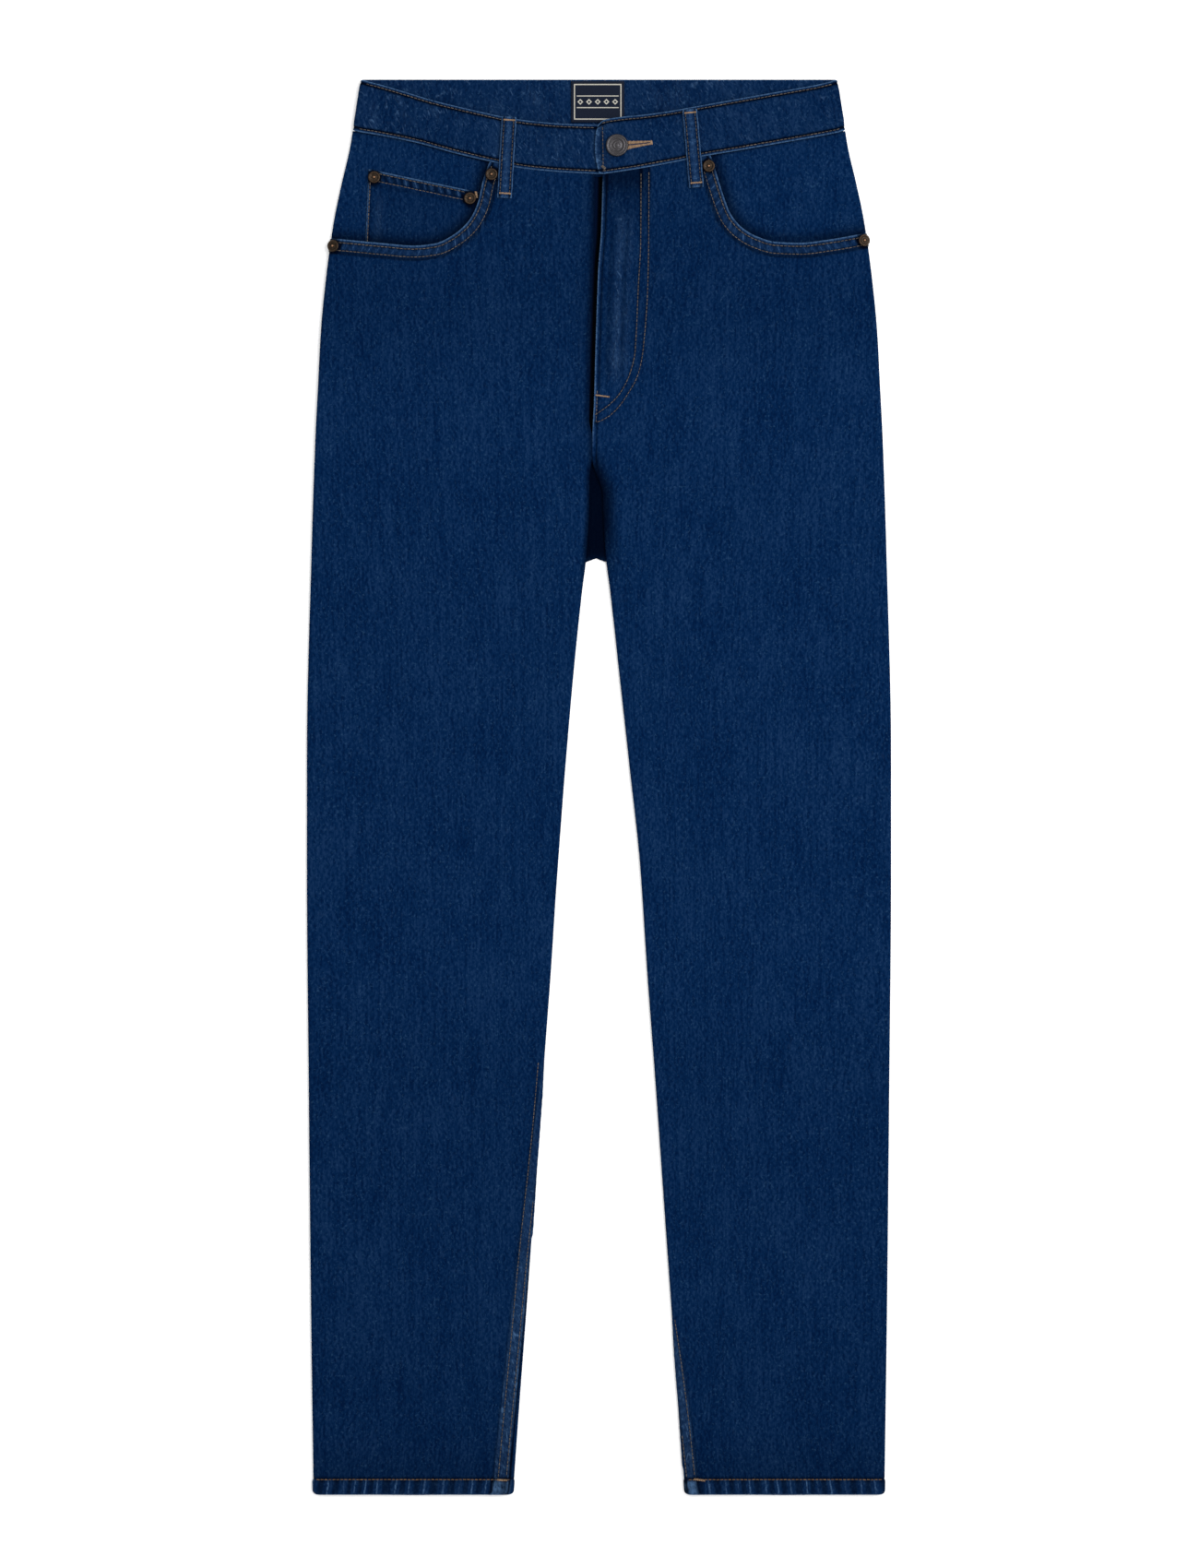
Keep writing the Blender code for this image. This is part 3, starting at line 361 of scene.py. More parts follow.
# Felled seam on each leg: mm below the waist, mm from the inner edge to its ditch and to its far edge
fellLine = {
    "right": (
        (722.0, -3.6, 0.0), (778.0, -3.0, 2.9), (905.0, 1.2, 9.7), (980.0, 2.7, 12.4), (1073.0, 4.6, 15.9),
    ),
    "left": ((925.0, -7.0, -0.5), (989.0, -2.6, 6.0), (1030.0, -0.6, 8.4), (1073.0, 1.0, 9.9)),
}
fellStart = {"right": 755.0, "left": 950.0}
# Rows of sewing, mm from the edge or the ditch that each follows
seamRows = {
    "mouth": (2.5, 8.5), "fell": (1.6, 7.8), "seat": (2.0, 8.2), "patch": (2.0, 8.0), "coin": (1.8, 7.6),
}

# Metal: each rivet and the button are turned from a profile of (mm from the axis, mm above the foot)
rivet = {
    "profile": (
        (0.0, 2.05), (0.35, 2.0), (0.7, 1.84), (0.92, 1.55), (1.02, 1.2), (1.25, 0.92), (1.7, 0.78),
        (2.4, 0.74),
        (2.9, 0.86), (3.35, 1.16), (3.8, 1.26), (4.2, 1.12), (4.52, 0.75), (4.65, 0.32), (4.5, 0.0),
        (0.0, 0.0),
    ),
    "segments": 64, "dent": 0.05, "seed": 7, "nub": 1.0, "sideLift": 1.45,
    # piece, its solid, x, mm below the waist, lean in degrees
    "places": (
        ("rivetRightInner", "rivet_right_inner", -81.4, 72.4, 0.0),
        ("rivetRightSide", "rivet_right_side", -201.4, 126.6, 20.0),
        ("rivetCoinSide", "rivet_coin_side", -170.4, 74.4, 0.0),
        ("rivetCoinInner", "rivet_coin_inner", -97.8, 90.4, 0.0),
        ("rivetLeftInner", "rivet_left_inner", 83.2, 66.2, 0.0),
        ("rivetLeftSide", "rivet_left_side", 200.8, 122.4, -20.0),
    ),
}
buttonShape = {
    "profile": (
        (0.0, 2.1), (0.9, 2.12), (1.5, 2.0), (1.8, 1.8), (2.1, 1.95), (2.6, 2.02), (3.1, 1.85), (3.5, 1.6),
        (4.3, 1.6),
        (4.7, 1.75), (5.0, 2.1), (5.3, 2.28), (5.7, 2.28), (6.0, 2.05), (6.4, 1.95), (6.9, 2.2), (7.3, 2.42),
        (7.8, 2.38), (8.2, 2.1), (8.45, 1.6), (8.5, 1.2), (8.3, 0.7), (8.0, 0.4), (7.0, 0.05), (5.0, 0.0),
        (0.0, 0.0),
    ),
    "place": (13.6, 50.8, 10.25), "segments": 128, "dent": 0.07, "seed": 5, "nub": 0.0,
}

# Soft creases laid one by one: x, below, half length, half width, lean in degrees, height
creases = {
    "right": (
        (-60.0, 205.0, 60.0, 14.0, 72.0, -0.35), (-118.0, 262.0, 75.0, 20.0, 80.0, 0.55),
        (-40.0, 330.0, 70.0, 13.0, 58.0, 0.5), (-66.0, 372.0, 84.0, 17.0, 66.0, -0.4),
        (-150.0, 420.0, 90.0, 24.0, 86.0, 0.6), (-84.0, 520.0, 120.0, 18.0, 84.0, 0.75),
        (-168.0, 600.0, 80.0, 20.0, 94.0, 0.5), (-108.0, 690.0, 95.0, 26.0, 78.0, 0.6),
        (-140.0, 800.0, 90.0, 18.0, 98.0, 0.45), (-92.0, 880.0, 100.0, 20.0, 86.0, 0.7),
        (-170.0, 930.0, 60.0, 16.0, 84.0, 0.5), (-120.0, 1000.0, 60.0, 22.0, 74.0, 0.4),
    ),
    "left": (
        (64.0, 190.0, 60.0, 16.0, 104.0, 0.5), (128.0, 240.0, 70.0, 22.0, 96.0, 0.6),
        (36.0, 320.0, 66.0, 12.0, 124.0, 0.5), (72.0, 365.0, 80.0, 17.0, 116.0, -0.4),
        (160.0, 400.0, 90.0, 22.0, 92.0, 0.55), (96.0, 500.0, 110.0, 20.0, 98.0, 0.7),
        (176.0, 570.0, 70.0, 18.0, 88.0, 0.5), (118.0, 660.0, 100.0, 28.0, 102.0, 0.65),
        (90.0, 770.0, 90.0, 15.0, 95.0, 0.5), (150.0, 850.0, 100.0, 22.0, 84.0, 0.6),
        (110.0, 960.0, 80.0, 20.0, 96.0, 0.5), (180.0, 1000.0, 60.0, 16.0, 92.0, 0.4),
    ),
}


def creaseHeight(rows, x, below):
    total = np.zeros(np.shape(x))
    for cx, cb, length, width, lean, height in rows:
        turn = math.radians(lean)
        dx, dy = x - cx, below - cb
        run = dx * math.cos(turn) + dy * math.sin(turn)
        off = -dx * math.sin(turn) + dy * math.cos(turn) + 0.0012 * run * run
        total += height * np.exp(-((run / length) ** 4)) * fade(off, width * (1.15 - 0.3 * run / length))
    return total


def puckerPhase(run, depth, spacing, slant, seed):
    # counts the puckers along a seam: whole numbers lie on their ridges, unevenly spaced
    rng = np.random.default_rng(seed)
    low, high = float(np.min(run)) - 30.0, float(np.max(run)) + 30.0
    places = low + np.cumsum(spacing * rng.uniform(0.7, 1.32, int((high - low) / spacing / 0.8) + 8))
    return np.interp(run - depth * slant, places, np.arange(len(places)))


def puckerRidge(phase, width=0.2, seed=5):
    rng = np.random.default_rng(seed)
    strength = rng.uniform(0.45, 1.0, int(np.max(phase)) + 2)
    nearest = np.round(phase).astype(int)
    return strength[nearest] * fade(phase - nearest, width)


def slashes(run, across, width, count, seed, lean, length=(5.0, 12.0), spread=(0.9, 1.5)):
    # short slanting creases scattered over a strip of cloth
    rng = np.random.default_rng(seed)
    total = np.zeros(np.broadcast(run, across).shape)
    low, high = float(np.min(run)), float(np.max(run))
    for _ in range(count):
        middleRun, middleAcross = rng.uniform(low, high), rng.uniform(2.0, width - 2.0)
        turn = math.radians(lean + rng.normal(0.0, 14.0))
        half, thin = rng.uniform(*length), rng.uniform(*spread)
        bend = rng.normal(0.0, 0.012)
        dx, dy = run - middleRun, across - middleAcross
        ahead = dx * math.cos(turn) + dy * math.sin(turn)
        off = -dx * math.sin(turn) + dy * math.cos(turn) + bend * ahead * ahead
        total += rng.uniform(0.4, 1.0) * np.exp(-((ahead / half) ** 4)) * fade(off, thin)
    return total


def frontColumns(side):
    # distances from the side fold at the hips, kept as shares all the way down
    width = abs(float(outerEdge(side, 120.0) - frontCentre(side, 120.0)))
    far = width - 3.0
    fine = 50.0 if side == "left" else 24.0
    parts = [
        np.arange(4.2, 12.0, 1.9), np.arange(12.0, 103.0, 2.9), np.arange(103.0, 122.0, 0.8),
        np.arange(122.0, far - fine, 2.6), np.arange(far - fine, far - 0.4, 1.45),
    ]
    return (np.concatenate(parts) - 3.0) / (width - 6.0)


foldTurns = np.radians([0.0, 8.0, 18.0, 30.0, 43.0, 58.0, 74.0, 90.0])


def frontTop(side, x):
    # upper edge of a front panel: the pocket mouth, then the waistband's seam
    mouth = sorted(mouthEdge[side])
    corner = mouthEdge[side][0][0]
    onMouth = sides[side] * x > sides[side] * corner
    mouthLine = along([(p[0], p[1]) for p in mouth], x)
    seam = seamBelow(side, x) + 0.12
    meet = float(seamBelow(side, corner)) + 0.12 - mouthEdge[side][0][1]
    lift = meet * np.exp(-np.abs(x - corner) / 2.0)
    return np.where(onMouth, mouthLine + lift, seam)


def frontRows():
    leg = np.arange(garment["straightRow"], 1056.0, 3.5)
    leg = np.concatenate([leg[leg < 226.0], np.arange(226.0, 300.0, 2.3), leg[leg >= 300.0]])
    foot = np.array([1056.5, 1058.5, 1060.0, 1060.9, 1061.6, 1062.3, 1063.1, 1064.2, 1065.6, 1067.0, 1068.4,
                     1069.8, 1071.0, 1071.8, 1072.4, 1072.8, 1073.0])
    return np.concatenate([leg, foot])


def frontCloth(side):
    sign = sides[side]
    shares = frontColumns(side)
    turns = foldTurns
    columns = len(turns) * 2 + len(shares)
    kinds = np.concatenate([np.full(len(turns), 0), np.full(len(shares), 1), np.full(len(turns), 2)])
    values = np.concatenate([turns, shares, turns[::-1]])

    def plan(column, below):
        outer, centre = outerEdge(side, below), frontCentre(side, below)
        if kinds[column] == 0:
            return outer - sign * 3.0 * (1.0 - math.cos(values[column]))
        if kinds[column] == 2:
            return centre + sign * 3.0 * (1.0 - math.cos(values[column]))
        return mix(outer - sign * 3.0, centre + sign * 3.0, values[column])

    tops = np.full(columns, 100.0)
    for _ in range(30):
        xs = np.array([float(plan(j, tops[j])) for j in range(columns)])
        tops = 0.5 * tops + 0.5 * frontTop(side, xs)
    first = np.array([0.0, 0.35, 0.8, 1.4, 2.1, 2.9, 3.8, 4.8, 5.9, 7.1, 8.2, 9.0, 9.8, 10.8, 12.2, 14.2])
    rest = np.linspace(0.0, 1.0, 20)[1:-1]
    upper = np.concatenate([
        tops[None, :] + first[:, None],
        mix(tops[None, :] + first[-1], garment["straightRow"], rest[:, None]),
    ])
    lower = np.repeat(frontRows()[:, None], columns, axis=1)
    below = np.concatenate([upper, lower])
    x = np.stack([plan(j, below[:, j]) for j in range(columns)], 1)

    # heights and outward directions
    up = np.zeros(x.shape + (3,))
    up[..., 2] = 1.0
    height = frontHeight(side, x, below)
    base, out = place3(x, below, height), up.copy()
    fold = kinds == 0
    seam = along(seamHeight, below) + garment["seamGap"] / 2
    fx, fz, fout = foldPoint(outerEdge(side, below), sign, values[None, :], seam, along(sideTop, below))
    base[:, fold] = place3(fx, below, fz)[:, fold]
    out[:, fold] = fout[:, fold]
    inner = kinds == 2
    top = along(centreTop[side], below)
    resting = along(seat, below) + garment["wall"] + 0.45
    free = mix(resting, seam, smooth(garment["crotchBack"], garment["crotchBack"] + 12.0, below))
    ix, iz, iout = foldPoint(frontCentre(side, below), -sign, values[None, :], free, top)
    flatX = frontCentre(side, below) + sign * 3.0 * (1.0 - np.cos(values[None, :]))
    turned = smooth(286.0, 298.0, below)[..., None]
    base[:, inner] = mix(place3(flatX, below, top), place3(ix, below, iz), turned)[:, inner]
    out[:, inner] = unit(mix(up, iout, turned))[:, inner]

    # forms of the sewing
    mouth = finePath([(p[0], p[1]) for p in mouthEdge[side]], 1.5)
    mouthGap, mouthRun, _ = nearPath(mouth, x, below)
    nearHem = smooth(garment["mouthHem"] + 0.5, garment["mouthHem"] - 0.4, mouthGap)
    hemRaise = (
        garment["mouthRaise"] * nearHem
        * smooth(0.0, 5.0, below - tops[None, :] + sign * (x - mouthEdge[side][0][0]))
    )
    channel = sum(bump(mouthGap, row, 0.8) for row in seamRows["mouth"])
    edgeFall = 0.3 * fade(mouthGap, 0.9)
    mouthPhase = puckerPhase(mouthRun, mouthGap, 6.0, 0.5, 11)
    mouthOn = smooth(0.8, 3.0, mouthGap) * smooth(9.2, 7.0, mouthGap)
    pucker = puckerRidge(mouthPhase) * mouthOn
    raised = hemRaise - 0.25 * channel - edgeFall + 0.28 * (pucker - 0.3 * mouthOn) * nearHem
    worn = 0.85 * fade(mouthGap, 0.75) + 0.06 * nearHem
    shade = 0.7 * smooth(1.5, 0.0, np.abs(mouthGap - garment["mouthHem"] - 0.7)) + 0.75 * channel
    for _, _, rivetX, rivetBelow, _ in rivet["places"]:
        shade = shade + 0.8 * smooth(7.4, 5.0, np.hypot(x - rivetX, below - rivetBelow))

    inside = np.abs(x - frontCentre(side, below))
    upper = smooth(300.0, 284.0, below)
    lined = 0.0 * x
    shade = (
        shade + 0.12 * smooth(250.0, 170.0, below) + 0.08 * smooth(660.0, 760.0, below)
        + 0.08 * smooth(900.0, 1010.0, below)
    )
    if side == "left":
        path = finePath(flyOuter, 1.5)
        gap, _, hand = nearPath(path, x, below)
        within = smooth(-1.3, 0.1, np.where((hand > 0) & (below < 262.0), gap, -gap))
        within = np.where(below > 263.5, 0.0, within)
        flyGap = np.minimum(gap, nearPath(finePath(flyInner, 1.5), x, below)[0])
        channel = bump(flyGap, 0.0, 0.75) * smooth(265.0, 262.0, below)
        edgeRow = bump(inside, 3.0, 0.8) * upper
        ridge = bump(inside, 15.5, 3.2) + 0.5 * bump(inside, 23.0, 2.2)
        ridge = ridge * smooth(92.0, 118.0, below) * smooth(236.0, 212.0, below)
        wave = 0.5 + 0.5 * np.sin(below / 9.0) * np.sin(below / 23.0 + 1.0)
        raised = (
            raised + garment["flyRaise"] * within - 0.2 * channel - 0.25 * edgeRow
            + (0.45 + 0.35 * wave) * ridge
        )
        worn = worn + 0.2 * ridge * (0.25 + 0.75 * wave)
        worn = worn + 0.9 * fade(inside, 0.7) * smooth(72.0, 80.0, below) * smooth(284.0, 258.0, below)
        onFly = smooth(100.0, 125.0, below) * smooth(240.0, 215.0, below)
        shade = shade + 0.3 * (bump(inside, 9.0, 2.6) + bump(inside, 20.0, 1.6)) * onFly
        lined = (0.06 + 0.4 * ridge) * within * smooth(0.5, 2.5, flyGap)
        shade = shade + 0.75 * channel + 0.7 * edgeRow
        underBand = 0.28 * smooth(130.0, 84.0, below) + 0.34 * smooth(92.0, 74.0, below)
        shade = shade + underBand * smooth(44.0, 32.0, x)
        roll = smooth(276.0, 300.0, below) * smooth(392.0, 330.0, below)
        shade = shade + 0.95 * roll * smooth(15.0, 1.0, inside)
    else:
        shade = shade + (0.55 * smooth(5.0, 0.0, inside) + 0.15 * smooth(16.0, 4.0, inside)) * upper
        shade = (
            shade + 0.8 * smooth(5.0, 0.5, inside) * smooth(284.0, 300.0, below) * smooth(400.0, 350.0, below)
        )
    ditch = along(fellLine[side], below, 1)
    far = along(fellLine[side], below, 2)
    onFell = smooth(fellStart[side] - 20.0, fellStart[side] + 20.0, below)
    strip = (
        smooth(far + 0.6, far - 0.5, inside)
        * smooth(ditch - 0.5, ditch + 0.6, inside + np.where(ditch < 0.3, 3.0, 0.0))
    )
    raised = raised + garment["fellRaise"] * strip * onFell
    for row in seamRows["fell"]:
        raised = raised - 0.22 * bump(inside, ditch + row, 0.8) * onFell
        shade = shade + 0.4 * bump(inside, ditch + row, 0.7) * onFell
    fellPhase = puckerPhase(below, inside - ditch, 6.0, -0.5, 23)
    fellOn = strip * onFell * smooth(-0.5, 2.0, far - inside)
    low = smooth(700.0, 1040.0, below)
    raised = raised + 0.25 * (puckerRidge(fellPhase) - 0.3) * fellOn
    worn = worn + (0.03 + 0.12 * low) * strip * onFell
    worn = worn + (0.1 + 0.35 * low) * bump(inside, ditch + 0.6, 0.6) * onFell * smooth(0.2, 1.4, ditch)
    worn = worn + 0.12 * bump(inside, far - 0.3, 0.6) * onFell
    shade = (
        shade + 0.85 * bump(inside, ditch - 0.7, 0.8) * onFell * smooth(0.2, 1.4, ditch)
        + 0.35 * bump(inside, far + 0.9, 0.8) * onFell
    )
    worn = worn + 0.62 * low * strip * onFell * (below > garment["length"] - garment["hem"] + 0.8)

    # hem with its roping
    depth = garment["length"] - below
    onHem = smooth(-0.6, 0.5, garment["hem"] - depth)
    hemPhase = puckerPhase(x, depth, 11.0, 0.12 if side == "right" else -0.12, 31 if side == "right" else 37)
    hemOn = onHem * smooth(0.0, 1.5, depth)
    above = 0.12 * smooth(20.0, 12.0, depth) * (1.0 - onHem)
    raised = (
        raised + garment["hemExtra"] * onHem + 0.45 * (puckerRidge(hemPhase, 0.13, 9) - 0.2) * (hemOn + above)
    )
    raised = raised - 0.25 * bump(depth, garment["hem"], 0.7) - 0.25 * fade(depth, 1.0)
    worn = worn + 0.3 * fade(depth, 0.7) + 0.03 * onHem
    shade = (
        shade + 0.7 * bump(depth, garment["hem"] + 0.9, 0.7) + 0.3 * bump(depth, garment["hem"] - 1.0, 0.6)
    )
    shade = (
        shade + 0.14 * onHem * (1.0 - puckerRidge(hemPhase, 0.3, 9))
        + 0.3 * smooth(60.0, 12.0, depth) * (1.0 - onHem) * 0.6
    )
    if side == "left":
        raised = np.where(
            inner[None, :] & (below < 290.0), np.maximum(raised, garment["flyRaise"] * 0.9 * (below < 262.0)),
            raised,
        )

    # soft rise and fall of the cloth, kept off its folds and edges
    fromSide = np.abs(x - outerEdge(side, below))
    free = smooth(6.0, 34.0, fromSide) * smooth(16.0, 40.0, inside) * smooth(1064.0, 1030.0, below)
    free = free * smooth(0.0, 30.0, below - tops[None, :] - 10.0)
    wave = creaseHeight(creases[side], x, below) * free
    lift = np.zeros_like(base)
    lift[..., 2] = wave

    wall = garment["wall"] + garment["hemExtra"] * onHem
    outerGrid = base + out * raised[..., None] + lift
    innerGrid = base - out * wall[..., None] + lift
    uv = np.stack([x + 4.0 * sign * (1.0 - height), below], -1)
    hemSide = below > 600.0
    marks = {
        "worn": np.clip(worn, 0.0, 1.5), "shade": np.clip(shade, 0.0, 1.0),
        "pucker": np.where(hemSide, hemPhase, mouthPhase),
        "puckerOn": np.where(hemSide, 1.25 * (hemOn + above), 0.85 * mouthOn * nearHem),
        "fell": fellPhase, "fellOn": fellOn * (0.15 + 0.25 * low),
        "lined": lined + 0.9 * low * strip * onFell,
    }
    name = pieceName("front", side)
    return shellPiece(name, outerGrid, innerGrid, uv, marks, (0.35, 0.35, 0.0, 0.25), flip=side == "right")


def backCentre(side, below):
    seam = along(legLine, below) - sides[side] * 0.03
    cut = garment["crotchBack"]
    return mix(seam, innerEdge(side, below), smooth(cut - 0.5, cut + 0.5, below))


yoke = {"middle": 112.0, "side": 84.0, "reach": 200.0}  # mm below the waist, at a reach from the centre


def yokeSeam(x):
    return mix(yoke["middle"], yoke["side"], np.abs(x) / yoke["reach"])


# Creases on the seat and the backs of the legs
backCreases = {
    "right": (
        (-60.0, 345.0, 60.0, 10.0, 40.0, 0.5), (-80.0, 372.0, 66.0, 12.0, 46.0, -0.3),
        (-120.0, 520.0, 110.0, 20.0, 82.0, 0.5), (-150.0, 700.0, 90.0, 22.0, 96.0, 0.45),
        (-100.0, 840.0, 80.0, 18.0, 80.0, 0.5), (-140.0, 960.0, 70.0, 16.0, 90.0, 0.4),
    ),
    "left": (
        (56.0, 350.0, 60.0, 10.0, 138.0, 0.5), (84.0, 380.0, 70.0, 12.0, 130.0, -0.3),
        (126.0, 540.0, 100.0, 22.0, 98.0, 0.5), (144.0, 690.0, 95.0, 20.0, 86.0, 0.45),
        (104.0, 850.0, 85.0, 18.0, 96.0, 0.5), (150.0, 980.0, 60.0, 16.0, 88.0, 0.4),
    ),
}


def backSheet(name, side, below, seamEdge):
    # rows of depths (rows x columns) of a back piece between its side fold and its centre seam or inner fold
    sign = sides[side]
    turns = foldTurns
    flat = np.linspace(0.0, 1.0, below.shape[1] - 2 * len(turns) + 2)[1:-1]
    kinds = np.concatenate([np.full(len(turns), 0), np.full(len(flat), 1), np.full(len(turns), 2)])
    values = np.concatenate([turns, flat, turns[::-1]])
    outer, centre = outerEdge(side, below), backCentre(side, below)
    rest = along(seat, below) + garment["backLift"]
    seam = along(seamHeight, below) - garment["seamGap"] / 2
    x = mix(outer - sign * 3.0, centre + sign * 3.0, np.where(kinds == 1, values, 0.0)[None, :])
    down = np.zeros(x.shape + (3,))
    down[..., 2] = -1.0
    base, out = place3(x, below, rest), down.copy()
    fold, inner = kinds == 0, kinds == 2
    angle = np.where(kinds == 1, 0.0, values)[None, :]
    fx, fz, fout = foldPoint(outer, sign, angle, seam, rest)
    fout[..., 2] = -np.abs(fout[..., 2])
    base[:, fold], out[:, fold] = place3(fx, below, fz)[:, fold], fout[:, fold]
    ix, iz, iout = foldPoint(centre, -sign, angle, seam, rest)
    iout[..., 2] = -np.abs(iout[..., 2])
    cut = garment["crotchBack"]
    turned = smooth(cut - 2.0, cut + 10.0, below)[..., None]
    base[:, inner] = mix(place3(ix, below, rest), place3(ix, below, iz), turned)[:, inner]
    out[:, inner] = unit(mix(down, iout, turned))[:, inner]
    x = base[..., 0]

    depth = garment["length"] - below
    onHem = smooth(-0.6, 0.5, garment["hem"] - depth)
    hemPhase = puckerPhase(x, depth, 11.0, 0.25 * sign, 41)
    rope = puckerRidge(hemPhase, 0.16, 9)
    inside = np.abs(x - backCentre(side, below))
    raised = -0.2 * sum(bump(inside, row, 0.9) for row in seamRows["seat"]) * (below < cut)
    raised = raised - 0.2 * bump(depth, garment["hem"], 0.8) + 0.1 * rope * onHem
    worn = 0.3 * fade(depth, 1.2) + 0.12 * smooth(12.0, 2.0, np.abs(x - outer)) * smooth(84.0, 140.0, below)
    seatPhase = puckerPhase(below, inside, 6.0, 0.4, 43)
    seatOn = bump(inside, 5.0, 3.2) * smooth(cut - 2.0, cut - 14.0, below)
    shade = 0.5 * bump(inside, 0.0, 0.8) * (below < cut)
    seamGap = np.abs(below - seamEdge(x)) if seamEdge is not None else np.full(x.shape, 90.0)
    raised = raised - 0.2 * bump(seamGap, 2.0, 0.8)
    worn = worn + 0.5 * fade(seamGap, 1.2)
    fromSide = np.abs(x - outer)
    free = smooth(10.0, 40.0, fromSide) * smooth(14.0, 40.0, inside) * smooth(1050.0, 1020.0, below)
    free = free * smooth(322.0, 350.0, below)
    lift = np.zeros_like(base)
    lift[..., 2] = np.maximum(creaseHeight(backCreases[side], x, below) * free, 0.0)
    wall = garment["wall"] - garment["backLift"] * (kinds == 1)[None, :] + garment["hemExtra"] * onHem * 0.6
    outerGrid = base + out * raised[..., None] + lift
    innerGrid = base - out * wall[..., None] + lift
    uv = np.stack([x, below], -1)
    marks = {
        "worn": np.clip(worn, 0.0, 1.5), "shade": np.clip(shade, 0.0, 1.0), "pucker": hemPhase,
        "puckerOn": onHem,
        "fell": seatPhase, "fellOn": 0.5 * seatOn,
    }
    # painted shadow: the inner face is darkened between the legs, where the gap between the fronts shows it
    paintedCrotchShadow = smooth(24.0, 12.0, inside) * smooth(236.0, 256.0, below) * smooth(cut + 16.0, cut - 6.0, below)
    return shellPiece(
        name, outerGrid, innerGrid, uv, marks, (0.1, 0.3, 0.0, 0.0), flip=side == "left",
        insideMarks={"shade": paintedCrotchShadow},
    )


def backCloth(side):
    columns = 2 * len(foldTurns) + 44
    share = np.linspace(0.0, 1.0, columns)
    top = yokeSeam(mix(yoke["reach"], 0.0, share)) + 0.15
    rows = np.concatenate([
        np.arange(126.0, 318.0, 4.5), np.arange(318.0, 380.0, 3.0), np.arange(381.0, 1056.0, 5.0),
        [1057.5, 1059.5, 1061.0, 1061.8, 1062.8, 1064.5, 1067.0, 1069.5, 1071.5, 1072.6, 1073.0],
    ])
    steps = np.array([0.0, 0.4, 1.0, 1.8, 2.6, 4.0, 7.0])
    upper = top[None, :] + steps[:, None] * (126.0 - top[None, :]) / 16.0
    below = np.concatenate([upper, np.repeat(rows[:, None], columns, axis=1)])
    return backSheet(pieceName("back", side), side, below, yokeSeam)


def yokeCloth(side):
    columns = 2 * len(foldTurns) + 44
    share = np.linspace(0.0, 1.0, columns)
    foot = yokeSeam(mix(yoke["reach"], 0.0, share)) - 0.15
    top = np.where(share < 0.13, 39.2, 38.0)
    steps = np.concatenate([np.linspace(0.0, 0.9, 14), [0.93, 0.955, 0.97, 0.98, 0.988, 0.994, 1.0]])
    below = mix(top[None, :], foot[None, :], steps[:, None])
    return backSheet(pieceName("yoke", side), side, below, yokeSeam)


facing = {"wall": 1.1, "inner": 63.0, "sideTop": 4.2, "top": 4.1, "rise": 1.0, "riseReach": 16.0}


def facingHeight(side, x, below):
    # it rises towards the waistband
    distance = np.maximum(below - seamBelow(side, x), 0.0)
    return facing["top"] + facing["rise"] * np.exp(-distance / facing["riseReach"])


def facingCloth(side):
    sign = sides[side]
    end = mouthEdge[side][-1][1]
    turns = foldTurns
    flat = np.linspace(0.0, 1.0, 40)[1:]
    kinds = np.concatenate([np.full(len(turns), 0), np.full(len(flat), 1)])
    values = np.concatenate([turns, flat])
    xTop = np.where(
        kinds == 0, sign * 189.0,
        mix(sign * 186.0, sign * facing["inner"], np.where(kinds == 1, values, 0.0)),
    )
    start = seamBelow(side, xTop) + 0.12
    steps = np.linspace(0.0, 1.0, 28)
    upper = mix(start[None, :], end - 1.5, steps[:, None])
    lower = np.repeat(
        np.array([end - 1.0, end - 0.5, end + 3.0, 130.0, 145.0, 160.0])[:, None], len(kinds), axis=1,
    )
    below = np.concatenate([upper, lower])
    inset = 4.2 * smooth(end - 1.4, end - 0.6, below)
    outer = outerEdge(side, below) - sign * inset
    seam = along(seamHeight, below) + garment["seamGap"] / 2
    flatTop = np.full(below.shape, facing["sideTop"])
    x = mix(outer - sign * 3.0, sign * facing["inner"], np.where(kinds == 1, values, 0.0)[None, :])
    height = mix(
        flatTop, facingHeight(side, x, below), smooth(0.0, 0.3, np.where(kinds == 1, values, 0.0))[None, :],
    )
    up = np.zeros(x.shape + (3,))
    up[..., 2] = 1.0
    base, out = place3(x, below, height), up.copy()
    fold = kinds == 0
    angle = np.where(fold, values, 0.0)[None, :]
    fx, fz, fout = foldPoint(outer, sign, angle, seam, flatTop)
    free = smooth(end - 1.4, end - 0.6, below)[..., None]
    base[:, fold] = mix(place3(fx, below, fz), place3(fx, below, flatTop), free)[:, fold]
    out[:, fold] = unit(mix(fout, up, free))[:, fold]
    wave = 0.25 * np.sin(x / 23.0 + 1.0) * np.sin(below / 31.0) * smooth(0.0, 20.0, np.abs(x - outer))
    base[..., 2] += wave * smooth(62.0, 90.0, below)
    mouth = finePath([(p[0], p[1]) for p in mouthEdge[side]], 2.0)
    gap = nearPath(mouth, base[..., 0], below)[0]
    shade = 0.75 * fade(gap, 7.0)
    uv = np.stack([x, below], -1)
    marks = {"worn": 0.0 * gap, "shade": shade}
    under = base - out * facing["wall"]
    return shellPiece(
        pieceName("facing", side), base, under, uv, marks, (0.1, 0.0, 0.0, 0.0), flip=side == "right",
    )


coinPocket = {
    "top": ((-174.4, 68.4), (-91.0, 86.0)), "foot": ((-179.0, 168.0), (-98.0, 168.0)), "width": 83.0,
    "height": 99.0, "wall": 1.0, "hem": 0.45, "clear": 0.35,
}


